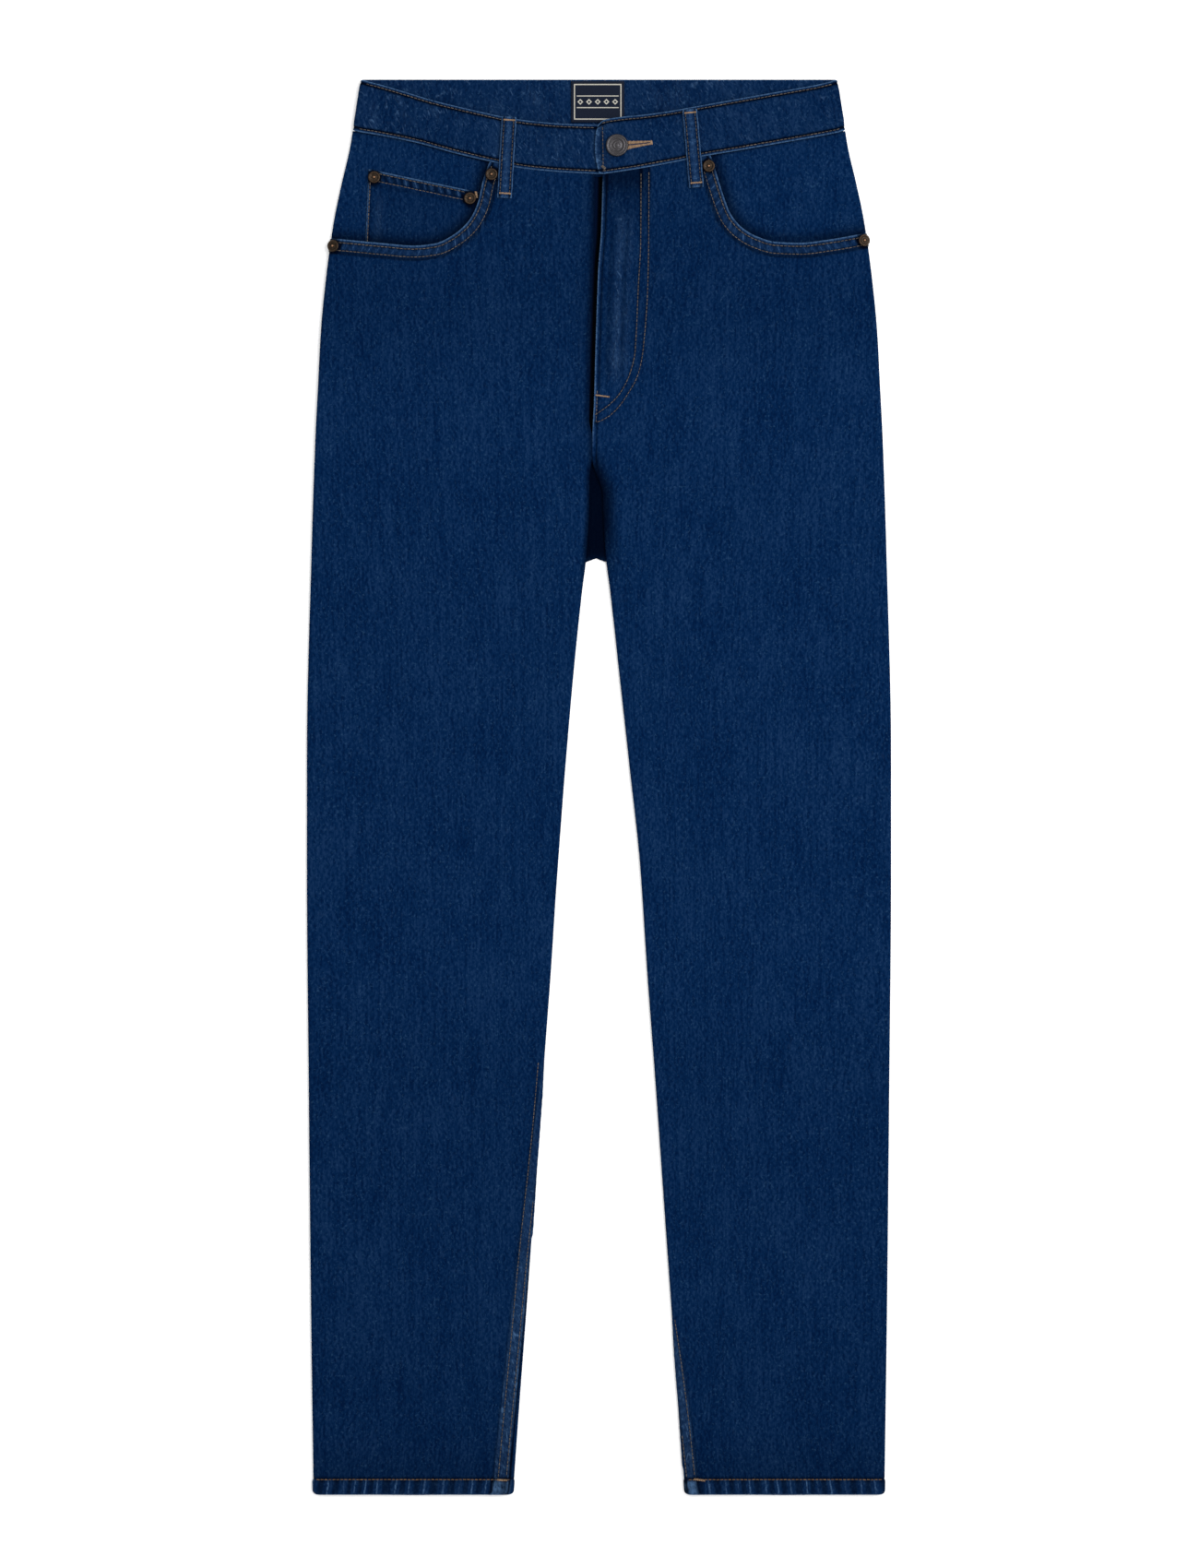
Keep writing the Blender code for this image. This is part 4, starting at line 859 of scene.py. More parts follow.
def coinCloth():
    near = [0.0, 0.006, 0.014, 0.026]
    across = np.concatenate([near, np.linspace(0.04, 0.96, 62), [0.974, 0.986, 0.994, 1.0]])
    hem = np.array([0.0, 0.35, 0.8, 1.5, 2.2, 3.0, 4.0, 5.2, 6.4, 7.2, 8.0, 8.8, 9.6, 11.0])
    down = np.concatenate([hem / coinPocket["height"], np.linspace(0.14, 1.0, 34)])
    u, v = np.meshgrid(across, down)
    t, f = np.array(coinPocket["top"]), np.array(coinPocket["foot"])
    topLine = t[0] + (t[1] - t[0]) * u[..., None]
    footLine = f[0] + (f[1] - f[0]) * u[..., None]
    plan = mix(topLine, footLine, v[..., None])
    x, below = plan[..., 0], plan[..., 1]
    height = facingHeight("right", x, below) + coinPocket["clear"] + coinPocket["wall"]
    depth = v * coinPocket["height"]
    fromLeft = u * coinPocket["width"]
    onHem = smooth(9.6, 8.6, depth)
    phase = puckerPhase(x, depth, 6.0, 0.25, 51)
    hemOn = smooth(1.0, 3.0, depth) * smooth(8.0, 6.0, depth)
    raised = coinPocket["hem"] * onHem - 0.22 * sum(bump(depth, row, 0.7) for row in seamRows["coin"])
    raised = (
        raised + 0.5 * (puckerRidge(phase) - 0.3) * hemOn - 0.3 * fade(depth, 0.8) - 0.3 * fade(fromLeft, 0.8)
    )
    worn = 0.9 * fade(depth, 0.9) + 0.7 * fade(fromLeft, 0.8)
    worn = (
        worn + 0.1 * bump(fromLeft, 9.0, 3.0) * smooth(10.0, 30.0, depth) + 0.16 * puckerRidge(phase) * hemOn
    )
    mouth = finePath([(p[0], p[1]) for p in mouthEdge["right"]], 2.0)
    gap = nearPath(mouth, x, below)[0]
    shade = (
        0.16 + 0.7 * fade(gap, 7.0) + 0.4 * bump(depth, 10.4, 0.8) + 0.6 * bump(depth, 1.9, 0.7)
        + 0.6 * bump(depth, 7.7, 0.7)
    )
    for _, _, rivetX, rivetBelow, _ in rivet["places"][2:4]:
        shade = shade + 0.8 * smooth(7.4, 5.0, np.hypot(x - rivetX, below - rivetBelow))
    shade = shade + 0.26 * hemOn * (1.0 - puckerRidge(phase, 0.3)) + 0.4 * bump(fromLeft, 2.2, 0.8)
    base = place3(x, below, height)
    up = np.array([0.0, 0.0, 1.0])
    marks = {"worn": worn, "shade": np.clip(shade, 0.0, 1.0), "pucker": phase, "puckerOn": hemOn}
    return shellPiece("coinPocketCloth", base + up * raised[..., None], base - up * coinPocket["wall"],
                      np.stack([x, below], -1), marks, (0.3, 0.0, 0.3, 0.3))


backPocket = {
    "width": 142.0, "top": 148.0, "height": 150.0, "centre": 97.0, "wall": 1.0, "point": 26.0, "taper": 0.88,
}


def backPocketCloth(side):
    sign = sides[side]
    across = np.concatenate([[-1.0, -0.992, -0.975], np.linspace(-0.95, 0.95, 47), [0.975, 0.992, 1.0]])
    hem = [0.0, 0.006, 0.015, 0.03, 0.05, 0.07, 0.09, 0.11]
    down = np.concatenate([hem, np.linspace(0.14, 0.96, 30), [0.975, 0.99, 1.0]])
    u, v = np.meshgrid(across, down)
    half = backPocket["width"] / 2 * mix(1.0, backPocket["taper"], v)
    x = sign * backPocket["centre"] + u * half
    below = backPocket["top"] + (backPocket["height"] - backPocket["point"] * np.abs(u)) * v
    edge = np.minimum((1.0 - np.abs(u)) * half, np.minimum(v, 1.0 - v) * 140.0)
    depth = v * 140.0
    height = 0.3 + 0.2 * fade(edge, 1.0) + 0.12 * sum(bump(edge, row, 0.8) for row in seamRows["patch"])
    height = height + 0.12 * bump(depth, 13.0, 0.9)
    phase = puckerPhase(x, depth, 7.0, 0.3, 61)
    worn = 0.85 * fade(edge, 1.2)
    base = place3(x, below, height)
    top = place3(x, below, np.full(x.shape, 1.0))
    marks = {
        "worn": worn, "shade": 0.3 * bump(edge, 9.4, 0.9), "pucker": phase,
        "puckerOn": smooth(13.0, 10.0, depth) * smooth(1.0, 3.0, depth),
    }
    return shellPiece(
        pieceName("backPocket", side), base, top, np.stack([x, below], -1), marks, (0.3, 0.3, 0.3, 0.3),
        flip=True,
    )


band = {
    "thick": 2.4, "backLift": 1.3, "frontFoot": 4.5, "sideTop": 180.6, "sideFoot": 186.6, "backFoot": 37.6,
    "row": 2.35,
}


def bandLine(side):
    # top edge, seam edge and outward direction from the front end round the side fold
    table = bandFront[side]
    xs = np.array([row[0] for row in table])
    places = np.concatenate([np.arange(xs[0], xs[-1], 1.35), [xs[-1]]])
    if side == "right":
        places = places[::-1]
    top = along(table, places, 1)
    xFoot = along(table, places, 2)
    low = along(table, places, 3)
    foot = seamBelow(side, xFoot)
    tops, feet = place3(places, top, low), place3(xFoot, foot, low)
    outs = np.zeros_like(tops)
    outs[:, 2] = 1.0
    radius = (band["frontFoot"] - band["backLift"] - band["thick"]) / 2
    middle = band["backLift"] + band["thick"] + radius
    turn = np.radians(np.array([80.0, 65.0, 50.0, 35.0, 20.0, 5.0, -10.0, -25.0, -40.0, -55.0, -70.0, -82.0]))
    out = np.stack([sides[side] * np.cos(turn), 0 * turn, np.sin(turn)], 1)
    inset = band["thick"] + radius
    edgeTop = place3(sides[side] * (band["sideTop"] - inset), 0.35 + 0.35 * np.sin(turn), middle)
    edgeFoot = place3(sides[side] * (band["sideFoot"] - inset), 38.6 + 0.9 * np.sin(turn), middle)
    return (np.concatenate([tops, edgeTop + out * radius]), np.concatenate([feet, edgeFoot + out * radius]),
            np.concatenate([outs, out]))


def waistbandCloth():
    parts = [bandLine("right")]
    xs = np.arange(-174.0, 174.1, 2.4)
    tops = place3(xs, 0.0 * xs, 0 * xs + band["backLift"] + band["thick"])
    feet = place3(along(bandBack, xs), 0.0 * xs + band["backFoot"], 0 * xs + band["backLift"] + band["thick"])
    outs = np.zeros_like(tops)
    outs[:, 2] = -1.0
    parts.append((tops, feet, outs))
    left = bandLine("left")
    parts.append(tuple(line[::-1] for line in left))
    top = np.concatenate([p[0] for p in parts])
    foot = np.concatenate([p[1] for p in parts])
    out = np.concatenate([p[2] for p in parts])
    run = np.concatenate([[0.0], np.cumsum(np.linalg.norm(np.diff((top + foot) / 2, axis=0), axis=1))])
    width = np.linalg.norm(foot - top, axis=1)
    down = (foot - top) / width[:, None]
    t = band["thick"]

    # section: outer face from the top fold to the seam edge, then back along the inner face
    near = np.array([0.12, 0.45, 0.85, 1.3, 1.75, 2.2, 2.8, 3.4, 4.0, 5.0, *np.arange(6.4, 17.0, 1.5)])
    face = np.concatenate([near, near[::-1] * -1.0])
    lip = np.array([t - 0.5, t - 0.16, t - 0.02])
    rise = np.concatenate([lip, np.full(len(face) - 6, t), lip[::-1]])
    back = np.array([0.1, 0.6, 1.8, 3.4, 5.2, 7.0, 8.8, 10.6, 12.4, 14.2, 15.8])
    under = np.concatenate([back, back[::-1] * -1.0])[::-1]
    underRise = np.concatenate([[0.45, 0.12], np.zeros(len(under) - 4), [0.12, 0.45]])
    place = np.concatenate([face, [-0.0], under, [0.0]])
    level = np.concatenate([rise, [t / 2], underRise, [t / 2]])
    fromFoot = place < 0.0
    across = np.where(fromFoot[None, :], width[:, None] + place[None, :], place[None, :])
    across = np.where(np.arange(len(place))[None, :] == len(face), width[:, None], across)
    isOuter = np.arange(len(place)) < len(face)

    edge = np.minimum(across, width[:, None] - across)
    bandRun = run[:, None] + 0.0 * across
    onOuter = isOuter[None, :].astype(float)
    fromFootEdge = width[:, None] - across
    topPhase = puckerPhase(bandRun, across, 9.5, -0.6, 71)
    footPhase = puckerPhase(bandRun, fromFootEdge, 8.0, 0.6, 73)
    topOn = smooth(14.0, 3.5, across) * smooth(0.8, 3.2, across)
    footOn = smooth(14.0, 3.5, fromFootEdge) * smooth(0.8, 3.2, fromFootEdge)
    half = run[-1] / 2.0
    fewer = np.where(bandRun < half, 1.0, 0.6)
    outerSlash = slashes(bandRun, across, 38.0, 90, 75, 121.0, (6.0, 13.0), (1.4, 2.2)) * fewer
    innerSlash = slashes(bandRun, across, 38.0, 60, 78, 56.0, (8.0, 16.0), (1.3, 2.0))
    channel = bump(edge, band["row"], 0.75)
    swell = 0.3 * smooth(2.0, 9.0, edge)
    ridges = puckerRidge(topPhase) * topOn + puckerRidge(footPhase) * footOn
    raised = (
        onOuter
        * (swell + 0.26 * ridges * fewer + 0.28 * outerSlash * smooth(2.5, 5.0, edge) - 0.32 * channel)
    )
    behind = (out[:, 2] < -0.5)[:, None]
    raised = raised - (1.0 - onOuter) * 0.25 * innerSlash * smooth(1.0, 4.0, edge)
    end = run[-1] - run
    ends = fade(end[:, None], 0.9) + 0.0 * across
    flare = (
        smooth(13.0, 1.0, end[:, None]) * (0.1 + 0.5 * bump(across, 4.0, 5.0) + 0.3 * bump(across, 34.0, 6.0))
    )
    lapped = smooth(13.0, 5.0, end) * smooth(0.0, 4.0, end)
    raised = raised + onOuter * 0.45 * lapped[:, None] * smooth(0.0, 6.0, edge)
    clear = smooth(3.4, 5.0, edge)
    worn = fade(edge, 0.7) * 1.15 + 0.06 * outerSlash * clear + 0.6 * ends + 0.3 * flare
    worn = worn * onOuter + (1.0 - onOuter) * (0.01 + 0.08 * innerSlash)
    endRow = bump(end[:, None], 4.0, 1.2) * smooth(2.0, 4.0, edge)
    shade = (
        0.9 * bump(edge, band["row"] + 0.9, 0.75) + 0.75 * bump(edge, band["row"] - 0.1, 0.8) + 0.5 * endRow
    )
    shade = onOuter * np.where(behind, 0.45, 1.0) * shade
    topMark, footMark = onOuter * topOn * 0.35 * fewer, onOuter * footOn * 0.4 * fewer
    lined = np.where(onOuter > 0, 0.4 * clear * fewer + 0.5 * smooth(7.0, 0.5, end[:, None]), 0.32)
    # the buttonhole end swells out in a soft curve, its upper corner rounded
    reach = fade(end, 7.0)
    points = (
        top[:, None, :] + down[:, None, :] * across[..., None]
        + out[:, None, :] * (level[None, :] + raised)[..., None]
    )
    middle = np.sin(math.pi * np.clip(across / width[:, None], 0.0, 1.0))
    points[..., 0] -= 2.6 * reach[:, None] * middle
    corner = np.clip(1.0 - end / 5.0, 0.0, 1.0)
    points[..., 1] -= (1.8 * corner**2)[:, None] * smooth(8.0, 0.0, across)
    points[..., 1] += (0.8 * corner**2)[:, None] * smooth(6.0, 0.0, fromFootEdge)

    # rounded ends
    def endRing(ring, neighbour, offsets):
        away = unit((ring - neighbour).mean(axis=0))
        middle = ring.mean(axis=0)
        made = []
        for push, thin in offsets:
            flat = ring.copy()
            flat[:, 2] = middle[2] + (ring[:, 2] - middle[2]) * thin
            flat[:, 1] = middle[1] + (ring[:, 1] - middle[1]) * (1.0 - 0.03 * (1.0 - thin))
            made.append(flat + away * push)
        return made
    startRings = endRing(points[0], points[1], ((0.5, 0.35), (0.35, 0.75)))
    endRings = endRing(points[-1], points[-2], ((0.35, 0.8), (0.6, 0.3)))
    points = np.concatenate([np.array(startRings), points, np.array(endRings)])
    # the cloth map runs to the picture's right on both faces
    uv = np.stack([np.where(onOuter > 0, -bandRun, bandRun + 900.0), across], -1)
    order = np.roll(np.arange(points.shape[1]), 1)
    grids = {
        "worn": np.clip(worn, 0.0, 1.5), "shade": shade, "pucker": topPhase, "puckerOn": topMark,
        "fell": footPhase, "fellOn": footMark,
        "lined": lined,
    }
    held = np.r_[0, 0, 0:len(run), len(run) - 1, len(run) - 1]
    marks = {label: grid[held][:, order] for label, grid in grids.items()}
    return ringPiece("waistbandCloth", points[:, order], uv[held][:, order], marks)


loopHalf = 5.6  # mm, half the width of a belt loop
flatLoop = ((0.0, 0.3, 0.7), (0.5, 0.3, 0.7), (1.0, 0.3, 0.7))
# each loop: its solid, upper and lower end as (x, below), then (share of its length, height, wall)
loops = {
    "loopFrontRight": ("belt_loop_front_right", (-68.05, 28.9), (-71.6, 90.4), (
        (0.0, 8.3, 2.0), (0.05, 8.5, 2.0), (0.12, 9.0, 1.4), (0.3, 9.4, 1.4), (0.5, 9.3, 1.4),
        (0.68, 8.9, 1.4), (0.86, 8.4, 1.4), (0.93, 8.0, 2.0), (1.0, 7.9, 2.0))),
    "loopFrontLeft": ("belt_loop_front_left", (68.65, 23.4), (73.8, 82.4), (
        (0.0, 8.5, 2.0), (0.05, 8.7, 2.0), (0.12, 9.2, 1.4), (0.3, 9.5, 1.4), (0.5, 9.4, 1.4),
        (0.68, 9.0, 1.4), (0.86, 8.4, 1.4), (0.93, 8.2, 2.0), (1.0, 8.1, 2.0))),
    "loopBackRight": ("belt_loop_back_right", (-84.0, 0.4), (-86.0, 54.0), flatLoop),
    "loopBackCentre": ("belt_loop_back_centre", (0.0, 0.4), (0.0, 54.0), flatLoop),
    "loopBackLeft": ("belt_loop_back_left", (84.0, 0.4), (86.0, 54.0), flatLoop),
}


def loopCloth(name):
    start, end, table = np.array(loops[name][1]), np.array(loops[name][2]), loops[name][3]
    length = float(np.hypot(*(end - start)))
    run = (end - start) / length
    side = np.array([-run[1], run[0]])
    middle = np.linspace(0.03, 0.97, int(length / 1.1))
    share = np.concatenate([[0.0, 0.006, 0.016], middle, [0.984, 0.994, 1.0]])
    height = along(table, share, 1)
    wall = along(table, share, 2)
    half = loopHalf
    # section across the loop as (share of half, share of wall): upper side from the middle, then under side
    upper = (
        (0.1, 1.0), (0.3, 1.06), (0.5, 1.02), (0.66, 0.9), (0.8, 1.0), (0.9, 0.97), (0.965, 0.8), (0.99, 0.5),
    )
    under = ((0.95, 0.12), (0.6, 0.0), (0.2, 0.0), (-0.2, 0.0), (-0.6, 0.0), (-0.95, 0.12))
    section = np.array([(-place, level) for place, level in upper[::-1]] + list(upper + under))
    across, level = section[:, 0], section[:, 1]
    ends = np.minimum(share, 1.0 - share) * length
    taper = 1.0 - 0.06 * fade(ends, 0.5)
    thin = 1.0 - 0.55 * fade(ends, 0.35)
    wobble = 0.1 * np.sin(share * length / 2.3 + start[0])
    aside = across[None, :] * half * taper[:, None] + wobble[:, None]
    x, below = (start[k] + run[k] * share[:, None] * length + side[k] * aside for k in (0, 1))
    z = height[:, None] + wall[:, None] * (0.5 + (level[None, :] - 0.5) * thin[:, None])
    edge = (1.0 - np.abs(across))[None, :] * half + 0.0 * x
    outer = (level > 0.3)[None, :]
    if "Back" in name:
        z = 1.3 - z
    phase = puckerPhase(share[:, None] * length + 0.0 * x, edge, 5.0, 0.3, 81)
    worn = np.where(outer, 1.15 * fade(edge, 0.55) + 0.03 + 0.16 * bump(across[None, :], 0.0, 0.26), 0.1)
    worn = worn + 0.5 * fade(ends[:, None], 1.0)
    shade = 0.95 * bump(np.abs(across)[None, :] * half, 3.75, 0.85) + 0.0 * x
    phaseOn = 0.4 * outer * smooth(0.3, 1.2, edge)
    rings = place3(x, below, z)
    uv = np.stack([across[None, :] * half + 0.0 * x + start[0], share[:, None] * length + 0.0 * x], -1)
    if "Back" not in name:
        grids = (rings, uv, worn, shade, phase, phaseOn)
        rings, uv, worn, shade, phase, phaseOn = (grid[:, ::-1] for grid in grids)
    marks = {
        "worn": np.clip(worn, 0.0, 1.5), "shade": shade, "pucker": phase, "puckerOn": phaseOn,
        "lined": 0.34 * outer + 0.0 * x,
    }
    return ringPiece(name + "Cloth", rings, uv, marks)


pieces = {}


def dress(piece, node=None):
    # every piece rides the one body and stands for its own solid
    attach(piece, "root")
    if node:
        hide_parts(node)
    pieces[piece.name] = piece


panels = (
    ("front_", frontCloth), ("back_", backCloth), ("yoke_", yokeCloth), ("pocket_facing_", facingCloth),
    ("back_pocket_", backPocketCloth),
)
for side in sides:
    for node, cut in panels:
        dress(cut(side), node + side)
    print("jeans:", side, "panels cut")
dress(coinCloth(), "coin_pocket")
dress(waistbandCloth(), "waistband")
for name in loops:
    dress(loopCloth(name), loops[name][0])
print("jeans: cloth pieces made,", {name: len(piece.data.polygons) * 2 for name, piece in pieces.items()})


# Sewing: each stitch is a short soft thread that dips into the cloth at both ends
sewing = {
    "pitch": 2.9, "length": 2.45, "radius": 0.29, "arch": 0.2, "dip": 0.16, "sides": 5, "waver": 0.07,
    "fine": 0.2, "tack": 0.3,
}


def surfaceOf(name):
    mesh = pieces[name].data
    flat = np.empty(len(mesh.vertices) * 3)
    mesh.vertices.foreach_get("co", flat)
    return BVHTree.FromPolygons(
        (flat.reshape(-1, 3) * 1000.0).tolist(), cornersOf(mesh).reshape(-1, 4).tolist(),
    )


def dropOnto(surface, x, below, under=False):
    # height and facing of the cloth straight under (or over) a point
    start = Vector((x, garment["length"] / 2 - below, -20.0 if under else 40.0))
    hit = surface.ray_cast(start, Vector((0.0, 0.0, 1.0 if under else -1.0)))
    if hit[0] is None:
        return None
    return np.array(hit[0]), np.array(hit[1] if (hit[1].z < 0) == under else -hit[1])


def threadRow(path, pitch=sewing["pitch"], length=sewing["length"]):
    # plan ends of each stitch along a row of (x, below)
    line = np.array(path, float)
    run = np.concatenate(([0.0], np.cumsum(np.hypot(*np.diff(line, axis=0).T))))
    count = int(run[-1] / pitch)
    made = []
    for i in range(count):
        begin = (i + 0.1) * pitch
        ends = [begin, begin + length]
        made.append([(np.interp(e, run, line[:, 0]), np.interp(e, run, line[:, 1])) for e in ends])
    return made


def satinRow(start, end, width, pitch=0.44, slant=0.1):
    # close threads laid across a short line, as a bar tack is
    start, end = np.array(start, float), np.array(end, float)
    size = float(np.hypot(*(end - start)))
    run = (end - start) / size
    side = np.array([-run[1], run[0]])
    widths = width if isinstance(width, tuple) else (width, width)
    made = []
    for i, s in enumerate(np.arange(0.0, size, pitch)):
        half = mix(widths[0], widths[1], s / size) / 2
        lean = slant * (1 if i % 2 else -1)
        middle = start + run * s
        made.append([tuple(middle - side * half - run * lean), tuple(middle + side * half + run * lean)])
    return made


def sewPiece(name, surface, stitches, seed, radius=sewing["radius"], arch=sewing["arch"], under=False):
    rng = np.random.default_rng(seed)
    firsts, lasts, middles, normals = [], [], [], []
    for (ax, ab), (bx, bb) in stitches:
        da, db = rng.normal(0.0, sewing["waver"], 2)
        a = dropOnto(surface, ax, ab + da, under)
        b = dropOnto(surface, bx, bb + db, under)
        m = dropOnto(surface, (ax + bx) / 2, (ab + bb + da + db) / 2, under)
        if a is None or b is None or m is None or abs(a[0][2] - b[0][2]) > 1.3:
            continue
        firsts.append(a[0])
        lasts.append(b[0])
        middles.append(m[0])
        normals.append(unit(a[1] + b[1] + m[1]))
    firsts, lasts, middles, normals = map(np.array, (firsts, lasts, middles, normals))
    count, ring = len(firsts), sewing["sides"]
    along3 = unit(lasts - firsts)
    across = unit(np.cross(along3, normals))
    up = np.cross(across, along3)
    up = up * np.sign(np.sum(up * normals, axis=-1, keepdims=True))
    fat = radius * rng.uniform(0.88, 1.12, (count, 1))
    rings = []
    dip, shoulder = -sewing["dip"], arch * 0.45
    profile = (
        (0.0, 0.6, dip), (0.16, 0.96, shoulder), (0.5, 1.0, arch), (0.84, 0.96, shoulder), (1.0, 0.6, dip),
    )
    for share, scale, level in profile:
        middle = firsts * (1 - share) + lasts * share
        weight = 1.0 - abs(2.0 * share - 1.0)
        straight = (firsts + lasts) / 2
        middle = middle + (middles - straight) * weight + up * level
        for k in range(ring):
            turn = 2.0 * math.pi * (k + 0.5) / ring
            around = across * math.cos(turn) + up * math.sin(turn) * 0.85
            rings.append(middle + around * fat * scale)
    points = np.stack(rings, 1)
    levels = len(profile)
    grid = np.arange(levels * ring).reshape(levels, ring)
    ahead = np.roll(grid, -1, axis=1)
    quads = np.stack([grid[:-1], grid[1:], ahead[1:], ahead[:-1]], -1).reshape(-1, 4)
    last = grid[-1]
    caps = [(0, 1, 2, 3), (0, 3, 4, 4), last[3::-1], last[[4, 4, 3, 0]]]
    quads = np.concatenate([quads, np.array(caps)])
    faces = (quads[None] + (np.arange(count) * levels * ring)[:, None, None]).reshape(-1, 4)
    tint = np.repeat(rng.uniform(0.0, 1.0, count), levels * ring)
    shares = np.tile(np.repeat(np.linspace(0.0, 1.0, levels), ring), count)
    turns = np.tile(np.tile(np.linspace(0.0, 1.0, ring), levels), count)
    uv = (
        np.stack([turns * 1.6, shares * 2.6], -1)
        + np.repeat(np.arange(count)[:, None], levels * ring, axis=0) * 7.0
    )
    return threadMesh(name, points.reshape(-1, 3), faces, uv, tint)


def threadMesh(name, points, faces, uv, tint):
    # closed threads; a face that names a corner twice is a triangle
    mesh = bpy.data.meshes.new(name)
    polygons = [list(dict.fromkeys(face)) for face in faces.tolist()]
    mesh.from_pydata((points * 0.001).tolist(), [], polygons)
    addClothMap(mesh, uv)
    addMark(mesh, "tint", tint)
    mesh.shade_smooth()
    return linkPiece(name, mesh)


def sew(name, surface, stitches, seed, **settings):
    dress(sewPiece(name, surface, stitches, seed, **settings))


def offsetPath(points, offset, step=1.0):
    # a path moved sideways by a distance in mm
    line = finePath(points, step)
    run = np.gradient(line, axis=0)
    run = run / np.hypot(run[:, 0], run[:, 1])[:, None]
    return line + np.stack([-run[:, 1], run[:, 0]], 1) * offset


def fellPath(side, offset):
    # only where the row has come round the inner fold
    below = np.linspace(fellStart[side] - 10.0, 1060.0, 240)
    inside = along(fellLine[side], below, 1) + offset
    shown = inside > 0.9
    return np.stack([innerEdge(side, below) + sides[side] * inside, below], 1)[shown]


def bandPath(side, fromTop):
    # a row along the front of the waistband, mm from its top fold or, when negative, from its seam edge
    top, foot, out = bandLine(side)
    flat = out[:, 2] > 0.75
    top, foot = top[flat], foot[flat]
    down = unit(foot - top)
    line = top + down * fromTop if fromTop > 0 else foot + down * fromTop
    return np.stack([line[:, 0], garment["length"] / 2 - line[:, 1]], 1)


def hemRow(side, outerInset, innerInset):
    ends = (
        outerEdge(side, 1061.0) - sides[side] * outerInset, innerEdge(side, 1061.0) + sides[side] * innerInset
    )
    return [(x, garment["length"] - garment["hem"]) for x in np.linspace(*ends, 60)]


def yokeRow(side, offset):
    return [(x, float(yokeSeam(x)) + offset) for x in np.linspace(sides[side] * 4.0, sides[side] * 196.0, 60)]


